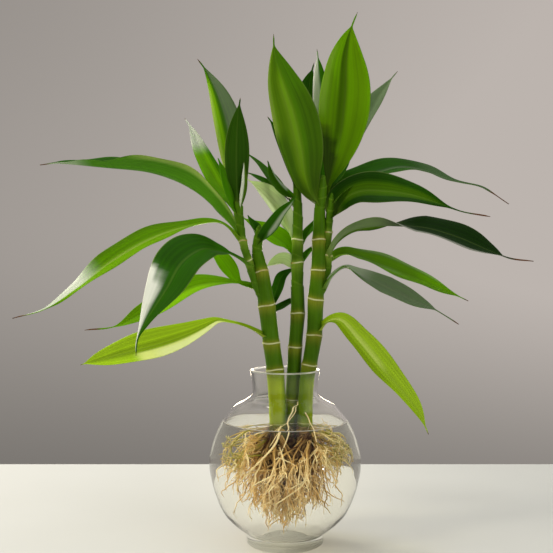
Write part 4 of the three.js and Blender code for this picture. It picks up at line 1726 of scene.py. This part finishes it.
@dataclass(frozen=True)
class Order:
    """One order of a bunch's roots: how many there are, and how stout, dark and long.

    thick and thin are their radii at the start and the tip, oldest is how dark the darkest are, and
    reach is about how far side strands go, in millimetres.
    """

    count: int
    steps: int
    sides: int
    thick: float
    thin: float
    oldest: float
    reach: float = 0.0


@dataclass(frozen=True)
class RootBunch:
    """All the roots of one cane: a woody crown, thick strands, side strands and fine hairs.

    sector is the range of headings that they spread over, in degrees, and edgeward the heading of
    the few that float high, near the water's edge.
    """

    name: str
    foot: Point
    sector: tuple[float, float]
    seed: int
    strands: list[Strand]
    edgeward: float | None = None

    CROWN = [(-18, 2), (-10, 6), (-2, 7.8), (8, 7.6), (18, 7.2), (24, 6.6)]
    ROOM = [
        (9, 0), (10, 18), (13.5, 27), (20, 36), (40, 47.5),
        (60, 52.5), (76, 49), (88, 40), (95, 34),
    ]
    BELL = [(10, 13), (16, 22), (24, 30), (36, 36), (46, 40), (60, 46), (72, 49), (86, 42)]
    CLEAR = 0.8
    MAIN = Order(84, 24, 7, 0.9, 0.42, 0.62)
    SIDE = Order(380, 12, 5, 0.52, 0.24, 0.6, 17)
    HAIR = Order(360, 7, 3, 0.26, 0.14, 0.5, 8)
    WAVES = (1.1, 2.3, 4.3)
    STRAY = 2.2
    SIDE_STRAY = 0.09
    HIGH_SHARE = 0.2
    HIGH_SPREAD = 38
    HIGH_LEVELS = (58, 84)
    APART = (0.1, 0.9)
    END_TURN = 14
    END_REACH = (0.15, 0.85)
    BEND_OUT = (0.5, 0.75)
    BEND_DOWN = (0.25, 0.5)
    BRANCH_AT = (0.15, 0.95)
    BRANCH_LENGTH = (0.4, 1.3)
    BRANCH_WAY = (0.8, 0.6, 0.3)
    GIRTH = (0.65, 1.25)
    CROWN_GIRTH = (0.8, 1.03)
    CROWN_AGE = (0.75, 1.1)
    MOSS = (0.2, 0.9)
    START_LOWEST = -8
    START_SPAN = 32
    END_LOWEST = 11.5
    END_SPAN = 26
    BEND_STRAY = 2.2
    INSET = 1.2
    LOWEST = 11
    TIP_CUT = 0.35
    ASKEW = (0.31, 0.77, 0.55)
    CROWN_SIDES = 26
    CROWN_ROWS = 36
    PLACED_SIDES = 8
    PLACED_STEPS = 28
    CORE = (0.25, 0.75)
    CORE_HEIGHTS = (20, 45)
    CORE_SHADE = 0.55
    BACK = (0, 30)
    BACK_SHADE = 0.3
    DARKEST = 1.15
    MOSS_HEIGHTS = (50, 70)
    MOSS_SIDES = (26, 40)

    def _ring(
        self, centre: tuple[float, float], reach: np.ndarray, heading: np.ndarray
    ) -> np.ndarray:
        """Points about a centre.

        Args:
            centre: the centre's x and y.
            reach: how far each point lies from it.
            heading: the way to each point, in degrees.

        Returns:
            The points' x and y.
        """
        x, y = centre
        turn = np.radians(heading)
        return np.stack([x + reach * np.cos(turn), y + reach * np.sin(turn)], axis=-1)

    def _keep_in(self, points: np.ndarray) -> np.ndarray:
        """Draws points in to where the bowl has room for roots.

        Args:
            points: points of strands.

        Returns:
            The points, no farther out than the room at their height.
        """
        rooms = np.array(self.ROOM, float)
        room = np.interp(points[..., 2], rooms[:, 0], rooms[:, 1]) - self.CLEAR
        away = np.hypot(points[..., 0], points[..., 1])
        spare = np.minimum(1, room / np.maximum(away, TINY))
        kept = points.copy()
        kept[..., 0] *= spare
        kept[..., 1] *= spare
        return kept

    def _tubes(
        self, paths: np.ndarray, thick: np.ndarray, thin: np.ndarray, sides: int, age: np.ndarray,
        moss: np.ndarray,
    ) -> Skin:
        """Strands along paths, thinning to their tips.

        Args:
            paths: points of each strand, from its start to its tip.
            thick: each strand's radius at its start.
            thin: each strand's radius at its tip.
            sides: how many sides a strand has.
            age: how dark each point of each strand is, from 0 to 1.
            moss: how green each strand is, from 0 to 1.

        Returns:
            All the strands as one skin.
        """
        count, steps = paths.shape[:2]
        ways = unit(np.gradient(paths, axis=1))
        normal = unit(np.cross(ways[:, 0], np.array(self.ASKEW)))
        share = np.linspace(0, 1, steps)
        turn = angles(sides)
        rings = np.empty((count, steps, sides, 3))
        for step in range(steps):
            way = ways[:, step]
            normal = unit(normal - np.sum(normal * way, axis=1, keepdims=True) * way)
            other = np.cross(way, normal)
            cut = self.TIP_CUT if step == steps - 1 else 1
            radius = (thick + (thin - thick) * share[step]) * cut
            out = (radius[:, None] * np.cos(turn))[:, :, None] * normal[:, None, :]
            back = (radius[:, None] * np.sin(turn))[:, :, None] * other[:, None, :]
            rings[:, step] = paths[:, step, None, :] + out + back
        one = loft_faces(steps, sides)
        size = steps * sides
        faces = [tuple(c + strand * size for c in face) for strand in range(count) for face in one]
        values = {
            "age": np.repeat(age.reshape(-1), sides),
            "moss": np.repeat(moss, size),
        }
        return Skin(rings.reshape(-1, 3), faces, values)

    def _walk(
        self, stops: np.ndarray, steps: int, stray: float, draw: np.random.Generator
    ) -> np.ndarray:
        """Smooth wandering paths through a few stops each.

        Args:
            stops: the stops of each path.
            steps: how many points each path gets.
            stray: how far the paths wander to the side.
            draw: the source of random numbers.

        Returns:
            The points of each path.
        """
        even = np.linspace(0, 1, steps)
        paths = np.stack([SmoothLine([tuple(stop) for stop in one]).at(even)[0] for one in stops])
        for wave in self.WAVES:
            way = unit(draw.normal(size=(len(stops), 3)))
            phase = draw.uniform(0, 2 * np.pi, (len(stops), 1))
            swing = np.sin(2 * np.pi * wave * even + phase) * even**0.5 * stray / wave
            paths = paths + swing[:, :, None] * way[:, None, :]
        return self._keep_in(paths)

    def _main_stops(self, draw: np.random.Generator) -> np.ndarray:
        """Places the main strands, which leave the cane near the water's top and fan out and down.

        Args:
            draw: the source of random numbers.

        Returns:
            The three stops of each strand.
        """
        x, y, foot = self.foot
        crown = np.array(self.CROWN, float)
        bell = np.array(self.BELL, float)
        count = self.MAIN.count
        low, high = self.sector
        turns = np.arange(count) + draw.uniform(*self.APART, count)
        heading = low + (high - low) * turns / count
        floats = draw.uniform(0, 1, count) < self.HIGH_SHARE * (self.edgeward is not None)
        if self.edgeward is not None:
            astray = draw.uniform(-self.HIGH_SPREAD, self.HIGH_SPREAD, count)
            heading = np.where(floats, self.edgeward + astray, heading)
        rise = self.START_LOWEST + self.START_SPAN * draw.uniform(0, 1, count) ** 0.7
        inset = np.interp(rise, crown[:, 0], crown[:, 1]) - self.INSET
        start = np.column_stack([self._ring((x, y), inset, heading), foot + rise])
        spread = np.where(floats, 1.0, draw.uniform(0, 1, count) ** 0.8)
        level = self.END_LOWEST + self.END_SPAN * spread
        level = level + self.END_SPAN * draw.uniform(0, 1, count) ** 1.3
        level = np.where(floats, draw.uniform(*self.HIGH_LEVELS, count), level)
        least, more = self.END_REACH
        reach = np.interp(level, bell[:, 0], bell[:, 1]) * (least + more * spread)
        heading = heading + draw.uniform(-self.END_TURN, self.END_TURN, count)
        end = np.column_stack([self._ring((0, 0), reach, heading), level])
        out = draw.uniform(*self.BEND_OUT, count)[:, None]
        down = draw.uniform(*self.BEND_DOWN, count)[:, None]
        bend = start + (end - start) * np.concatenate([out, out, down], axis=1)
        bend = bend + draw.normal(size=(count, 3)) * self.BEND_STRAY
        return np.stack([start, bend, end], axis=1)

    def _side_paths(
        self, parents: np.ndarray, order: Order, draw: np.random.Generator
    ) -> np.ndarray:
        """Strands that branch off others at a slant and fall beside them.

        Args:
            parents: the paths that they leave.
            order: how many there are, and how long.
            draw: the source of random numbers.

        Returns:
            The points of each branch.
        """
        count = order.count
        parent = draw.integers(0, len(parents), count)
        place = (parents.shape[1] * draw.uniform(*self.BRANCH_AT, count)).astype(int)
        place = np.clip(place, 0, parents.shape[1] - 2)
        start = parents[parent, place]
        way = unit(parents[parent, place + 1] - start)
        way = unit(way + unit(draw.normal(size=(count, 3))))
        fall = np.array([0.0, 0.0, -1.0])
        length = order.reach * draw.uniform(*self.BRANCH_LENGTH, count)[:, None]
        middle = start + way * length * 0.5
        ahead, down, aside = self.BRANCH_WAY
        onward = unit(way * ahead + fall * down + draw.normal(size=(count, 3)) * aside)
        tip = middle + onward * length * 0.5
        tip[:, 2] = np.maximum(tip[:, 2], self.LOWEST + draw.uniform(0, 6, count))
        stops = np.stack([start, middle, tip], axis=1)
        return self._walk(stops, order.steps, order.reach * self.SIDE_STRAY, draw)

    def _ages(self, paths: np.ndarray, base: np.ndarray) -> np.ndarray:
        """Paints shade onto the strands, darker near the middle of the bunch and at its back.

        Args:
            paths: the points of each strand.
            base: how dark each strand is by itself.

        Returns:
            How dark each point is.
        """
        bell = np.array(self.BELL, float)
        away = np.hypot(paths[..., 0] - self.foot[0] * 0.5, paths[..., 1])
        share = away / np.interp(paths[..., 2], bell[:, 0], bell[:, 1])
        # Painted shade in the middle of the bunch and at its back.
        core = (1 - ease(share, *self.CORE)) * ease(paths[..., 2], *self.CORE_HEIGHTS)
        back = ease(paths[..., 1], *self.BACK) * self.BACK_SHADE
        return np.clip(base[:, None] + core * self.CORE_SHADE + back, 0, self.DARKEST)

    def _moss(self, paths: np.ndarray, draw: np.random.Generator) -> np.ndarray:
        """Greens some of the strands that lie high up near the glass.

        Args:
            paths: the points of each strand.
            draw: the source of random numbers.

        Returns:
            How green each strand is.
        """
        tips = paths[:, -1]
        high = ease(tips[:, 2], *self.MOSS_HEIGHTS) * ease(np.abs(tips[:, 0]), *self.MOSS_SIDES)
        return high * draw.uniform(*self.MOSS, len(paths))

    def crown(self, draw: np.random.Generator) -> Skin:
        """Builds the rough woody crown round the cane's foot.

        Args:
            draw: the source of random numbers.

        Returns:
            One closed skin.
        """
        x, y, foot = self.foot
        crown = np.array(self.CROWN, float)
        sides, rows = self.CROWN_SIDES, self.CROWN_ROWS
        rise = np.linspace(crown[0, 0], crown[-1, 0], rows)
        turn = angles(sides)
        girth = np.interp(rise, crown[:, 0], crown[:, 1])
        reach = girth[:, None] * draw.uniform(*self.CROWN_GIRTH, (rows, sides))
        rings = np.stack([
            x + reach * np.cos(turn), y + reach * np.sin(turn),
            np.repeat((foot + rise)[:, None], sides, axis=1),
        ], axis=2)
        points = rings.reshape(-1, 3)
        age = draw.uniform(*self.CROWN_AGE, len(points))
        values = {"age": age, "moss": np.zeros(len(points))}
        return Skin(points, loft_faces(rows, sides), values)

    def placed(self) -> Skin:
        """Builds the strands that are placed one by one.

        Returns:
            All of them as one skin.
        """
        even = np.linspace(0, 1, self.PLACED_STEPS)
        skins = []
        for strand in self.strands:
            path = SmoothLine(strand.points).at(even)[0][None]
            thick, thin, moss = (np.array([x]) for x in (strand.thick, strand.thin, strand.moss))
            age = np.full((1, self.PLACED_STEPS), strand.age)
            skins.append(self._tubes(path, thick, thin, self.PLACED_SIDES, age, moss))
        return Skin.joined(skins)

    def skin(self) -> Skin:
        """Builds the whole bunch, in a fixed order of random draws.

        Returns:
            One skin, with its moss values and its darkness from years and painted shade.
        """
        draw = np.random.default_rng(self.seed)
        main = self._walk(self._main_stops(draw), self.MAIN.steps, self.STRAY, draw)
        side = self._side_paths(main, self.SIDE, draw)
        parents = np.concatenate([main[:, ::2], side])
        hair = self._side_paths(parents, self.HAIR, draw)
        parts = [self.crown(draw), self.placed()]
        for order, paths in ((self.MAIN, main), (self.SIDE, side), (self.HAIR, hair)):
            girth = draw.uniform(*self.GIRTH, order.count)
            age = self._ages(paths, draw.uniform(0, 1, order.count) ** 1.3 * order.oldest)
            moss = self._moss(paths, draw)
            thick, thin = order.thick * girth, order.thin * girth
            parts.append(self._tubes(paths, thick, thin, order.sides, age, moss))
        return Skin.joined(parts)


ROOT_BUNCHES = [
    RootBunch(
        "roots_left", (-6, -1, 66), (143, 300), 21,
        [
            Strand([(-3, -9, 90), (-8, -20, 80), (-22, -26, 66), (-35, -24, 52)], 0.9, 0.45, 0.02),
            Strand([(-5, -10, 78), (-2, -26, 72), (0, -29, 62), (-8, -28, 52), (-15, -27, 47)],
                   0.75, 0.4, 0.05),
            Strand([(-10, -6, 90), (-26, -12, 84), (-38, -12, 72), (-42, -10, 62)], 0.5, 0.25, 0.1),
            Strand([(-10, -2, 92), (-28, -6, 88), (-40, -8, 76), (-39, -14, 70)],
                   0.8, 0.4, 0.3, 0.9),
        ],
        190,
    ),
    RootBunch(
        "roots_middle", (4, 8, 70), (37, 143), 22,
        [
            Strand([(10.5, -3.5, 110), (5, -9, 104), (2, -13, 97), (2.5, -16, 88), (-3, -20, 74)],
                   0.6, 0.4, 0.08),
            Strand([(11.5, -4, 110), (17, -9, 102), (20, -10, 94), (23, -14, 82), (26, -18, 70)],
                   0.55, 0.35, 0.06),
            Strand([(9, -4, 106), (4, -10, 99), (-3, -14, 91), (-12, -19, 78)], 0.45, 0.3, 0.2),
        ],
    ),
    RootBunch(
        "roots_right", (15.5, -2.5, 64), (-125, 37), 23,
        [
            Strand([(12, -16, 74), (15, -27, 66), (13, -30, 54), (3, -31, 46), (-8, -30, 38)],
                   0.85, 0.45, 0.03),
            Strand([(20, -6, 92), (34, -8, 88), (42, -6, 74), (41, -4, 60)], 0.7, 0.4, 0.35, 0.8),
            Strand([(20, -3, 90), (36, -2, 82), (42, 2, 70)], 0.6, 0.3, 0.35, 0.9),
        ],
        -10,
    ),
]


# The plant, put together


def dress(piece: bpy.types.Object, node: str) -> None:
    """Makes a finished piece ride with the plant and stand for its node.

    Args:
        piece: the finished piece.
        node: the node that it replaces.
    """
    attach(piece, BODY)
    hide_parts(node)
    log.info("%s stands for %s, with %d faces", piece.name, node, len(piece.data.polygons))


class Plant:
    """The canes, shoots, leaves and roots."""

    SEED_STEP = 0.37

    def __init__(self, water_level: float) -> None:
        """Makes the finishes that the plant wears."""
        skins = {
            # The canes carry painted sunlight in the vase's neck.
            "cane": StemFinish("#42680a", "#94902c", "#dfe2b0", "#b08a4a", water_level * MM,
                               sunlit_share=0.85),
            "sheath": StemFinish("#42680a", "#8aa438", "#dfe2b0", "#b0904e", water_level * MM),
        }
        self.stem_looks = {name: skin.material(f"{name}_skin") for name, skin in skins.items()}
        self.leaf_looks = {
            tint: skin.material(f"leaf_{tint.value}") for tint, skin in LEAF_FINISHES.items()
        }
        self.root_look = RootFinish().material("root_skin")

    def build_stems(self) -> None:
        """Builds the canes, and the shoots and sheaths on them."""
        for slot, stems in (("cane", CANES), ("sheath", SHOOTS)):
            for stem in stems:
                piece = stem.skin().piece(f"{stem.name}_fine", self.stem_looks[slot])
                dress(piece, stem.name)

    def build_leaves(self) -> None:
        """Builds every leaf, each with a ripple and veins of its own."""
        for number, leaf in enumerate(LEAVES):
            own = replace(leaf, seed=(number * self.SEED_STEP) % 1.0)
            piece = own.skin().piece(f"{leaf.name}_fine", self.leaf_looks[leaf.tint])
            dress(piece, leaf.name)

    def build_roots(self) -> None:
        """Builds the bunch of roots under each cane."""
        for bunch in ROOT_BUNCHES:
            piece = bunch.skin().piece(f"{bunch.name}_fine", self.root_look)
            dress(piece, bunch.name)


class Bowl:
    """The glass vase and the water in it."""

    PIECES = 2
    GLASS_IOR = 1.2
    WATER_IOR = 1.07
    LIP_BELOW = 0.5
    SHORE_ABOVE = 0.1

    def __init__(self, shape: Vase) -> None:
        """Takes the vase's sizes."""
        self.shape = shape

    def build(self) -> None:
        """Builds the glass and the water."""
        lip = (self.shape.height - self.LIP_BELOW) * MM
        shore = (self.shape.water_level + self.SHORE_ABOVE) * MM
        # The glass's lip and the water's edge carry a painted highlight, a white band.
        glass = ClearFinish("#fcfcfa", self.GLASS_IOR, bright_from=lip, bright=0.4)
        water = ClearFinish("#fdfcf7", self.WATER_IOR, bright_from=shore, bright=0.6)
        vase = self.shape.glass().piece("vase_fine", glass.material("clear_glass"))
        dress(vase, "vase")
        filling = self.shape.water().piece("water_fine", water.material("clear_water"))
        dress(filling, "water")


# The stage, the light and the camera


class Glow(Enum):
    """What a lamp is for: to light the plant, or to shine in its gloss."""

    LIGHT = "light"
    GLOSS = "gloss"


@dataclass(frozen=True)
class SoftLamp:
    """A square studio lamp that looks at the plant."""

    name: str
    place: Point
    target: Point
    side: float
    power: float
    tone: str
    use: Glow = Glow.LIGHT

    def build(self) -> None:
        """Puts the lamp in the scene."""
        light = bpy.data.lights.new(self.name, "AREA")
        light.shape = "SQUARE"
        light.size = self.side
        light.energy = self.power
        light.color = colour(self.tone)[:3]
        lamp = bpy.data.objects.new(self.name, light)
        lamp.location = self.place
        lamp.visible_camera = False
        lamp.visible_transmission = False
        lamp.visible_diffuse = self.use is Glow.LIGHT
        lamp.visible_glossy = self.use is Glow.GLOSS
        aim_at(lamp, self.target)
        bpy.context.scene.collection.objects.link(lamp)


def aim_at(thing: bpy.types.Object, target: Point) -> None:
    """Turns a lamp to look at a point.

    Args:
        thing: the lamp, already in its place.
        target: the point.
    """
    away = np.array(target) - np.array(thing.location)
    flat = math.hypot(away[0], away[1])
    thing.rotation_euler = (math.atan2(flat, -away[2]), 0.0, math.atan2(-away[0], away[1]))


@dataclass(frozen=True)
class Studio:
    """A pale table top against plain grey, soft lamps and the camera, in metres."""

    table_back: float = 0.272
    table_reach: float = 1.4
    table_thickness: float = 0.025
    camera_place: Point = (-0.0068, -0.662, 0.2106)
    lens: float = 54.2
    sensor: float = 36.0
    nearest: float = 0.01
    farthest: float = 50.0

    SIDEWAYS = (-0.5, 0.5)
    HORIZON = (-0.32, 0.06)
    ABOVE = (0.06, 0.4)
    ZENITH = (0.6, 0.95)
    BEHIND = (0.0, -0.6)
    BEHIND_DIM = 0.55
    TABLE = "#bcbebb"
    DIM = "#6d6a65"
    PALE = "#bcb4ae"
    OVERHEAD = "#ffffff"

    def build_stage(self) -> None:
        """Builds the pale table top that the vase stands on."""
        side, back, low = self.table_reach, self.table_back, -self.table_thickness
        corner = [(x, y, z) for z in (low, 0.0) for y in (-side, back) for x in (-side, side)]
        faces = [
            (0, 2, 3, 1), (4, 5, 7, 6), (0, 1, 5, 4), (2, 6, 7, 3), (0, 4, 6, 2), (1, 3, 7, 5),
        ]
        look = PlainFinish(self.TABLE).material("pale_floor")
        table = Skin(np.array(corner) / MM, faces).piece("table_top", look)
        table.data.shade_flat()

    def build_lamps(self) -> None:
        """Builds the lamps."""
        middle, waterline, neck = (0.0, 0.0, 0.2), (0.0, 0.0, 0.0955), (0.0, 0.0, 0.12)
        gloss = Glow.GLOSS
        lamps = [
            SoftLamp("key_lamp", (-0.95, 0.85, 1.15), middle, 0.5, 20, "#fff8ee"),
            SoftLamp("sun_lamp", (-1.2, -0.5, 1.05), middle, 0.3, 12, "#fff6e6"),
            SoftLamp("fill_lamp", (1.15, -1.1, 0.7), middle, 1.2, 12, "#fffdf4"),
            SoftLamp("side_lamp", (-1.1, 0.3, 0.3), middle, 0.3, 4, "#fff4e0"),
            SoftLamp("water_gloss", (-0.005, 0.42, 0.17), waterline, 0.2, 1.4, "#fff0d2", gloss),
            SoftLamp("neck_gloss", (0.34, -0.26, 0.08), neck, 0.02, 0.06, "#ffffff", gloss),
        ]
        for lamp in lamps:
            lamp.build()

    def build_surroundings(self) -> None:
        """Fills the space all round with plain grey, lightest on the right and overhead."""
        world = bpy.data.worlds.new("even_light")
        bpy.context.scene.world = world
        g = Graph(world)
        way = g.node("ShaderNodeTexCoord", output="Generated")
        parts = g.node("ShaderNodeSeparateXYZ", inputs={"Vector": way})
        right = parts.part("X").band(*self.SIDEWAYS)
        rise = parts.part("Z").band(*self.HORIZON)
        high = parts.part("Z").band(*self.ABOVE)
        lift = rise * (0.52 + right * 0.5) + right * 0.16 - high * 0.14
        grey = g.mix(lift, colour(self.DIM), colour(self.PALE))
        grey = g.shade(1 - parts.part("Y").band(*self.BEHIND) * self.BEHIND_DIM, grey)
        tone = g.mix(parts.part("Z").band(*self.ZENITH), grey, colour(self.OVERHEAD))
        light = g.node("ShaderNodeBackground", inputs={"Color": tone, "Strength": 1.0})
        g.finish(light, "ShaderNodeOutputWorld")

    def build_camera(self) -> None:
        """Builds the level camera at the photograph's viewing angle."""
        view = bpy.data.cameras.new("camera")
        view.lens = self.lens
        view.sensor_width = self.sensor
        view.clip_start = self.nearest
        view.clip_end = self.farthest
        camera = bpy.data.objects.new("camera", view)
        camera.location = self.camera_place
        camera.rotation_euler = (math.pi / 2, 0.0, 0.0)
        bpy.context.scene.collection.objects.link(camera)
        bpy.context.scene.camera = camera


def corners(box: tuple) -> list[list[float]]:
    """A box's lowest and highest corners as plain lists of numbers."""
    return [[float(number) for number in corner] for corner in box]


def main() -> None:
    """Builds the bowl, the plant and the studio."""
    logging.basicConfig(level=logging.INFO, format="%(message)s")
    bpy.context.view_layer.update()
    bpy.context.scene.view_settings.view_transform = "Standard"
    shape = Vase()
    Bowl(shape).build()
    plant = Plant(shape.water_level)
    plant.build_stems()
    plant.build_leaves()
    plant.build_roots()
    studio = Studio()
    studio.build_stage()
    studio.build_lamps()
    studio.build_surroundings()
    studio.build_camera()
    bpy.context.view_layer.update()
    grown = len(CANES) + len(SHOOTS) + len(LEAVES) + len(ROOT_BUNCHES)
    log.info("%d pieces stand for %d nodes", grown + Bowl.PIECES, len(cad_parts))


if __name__ == "__main__":
    main()
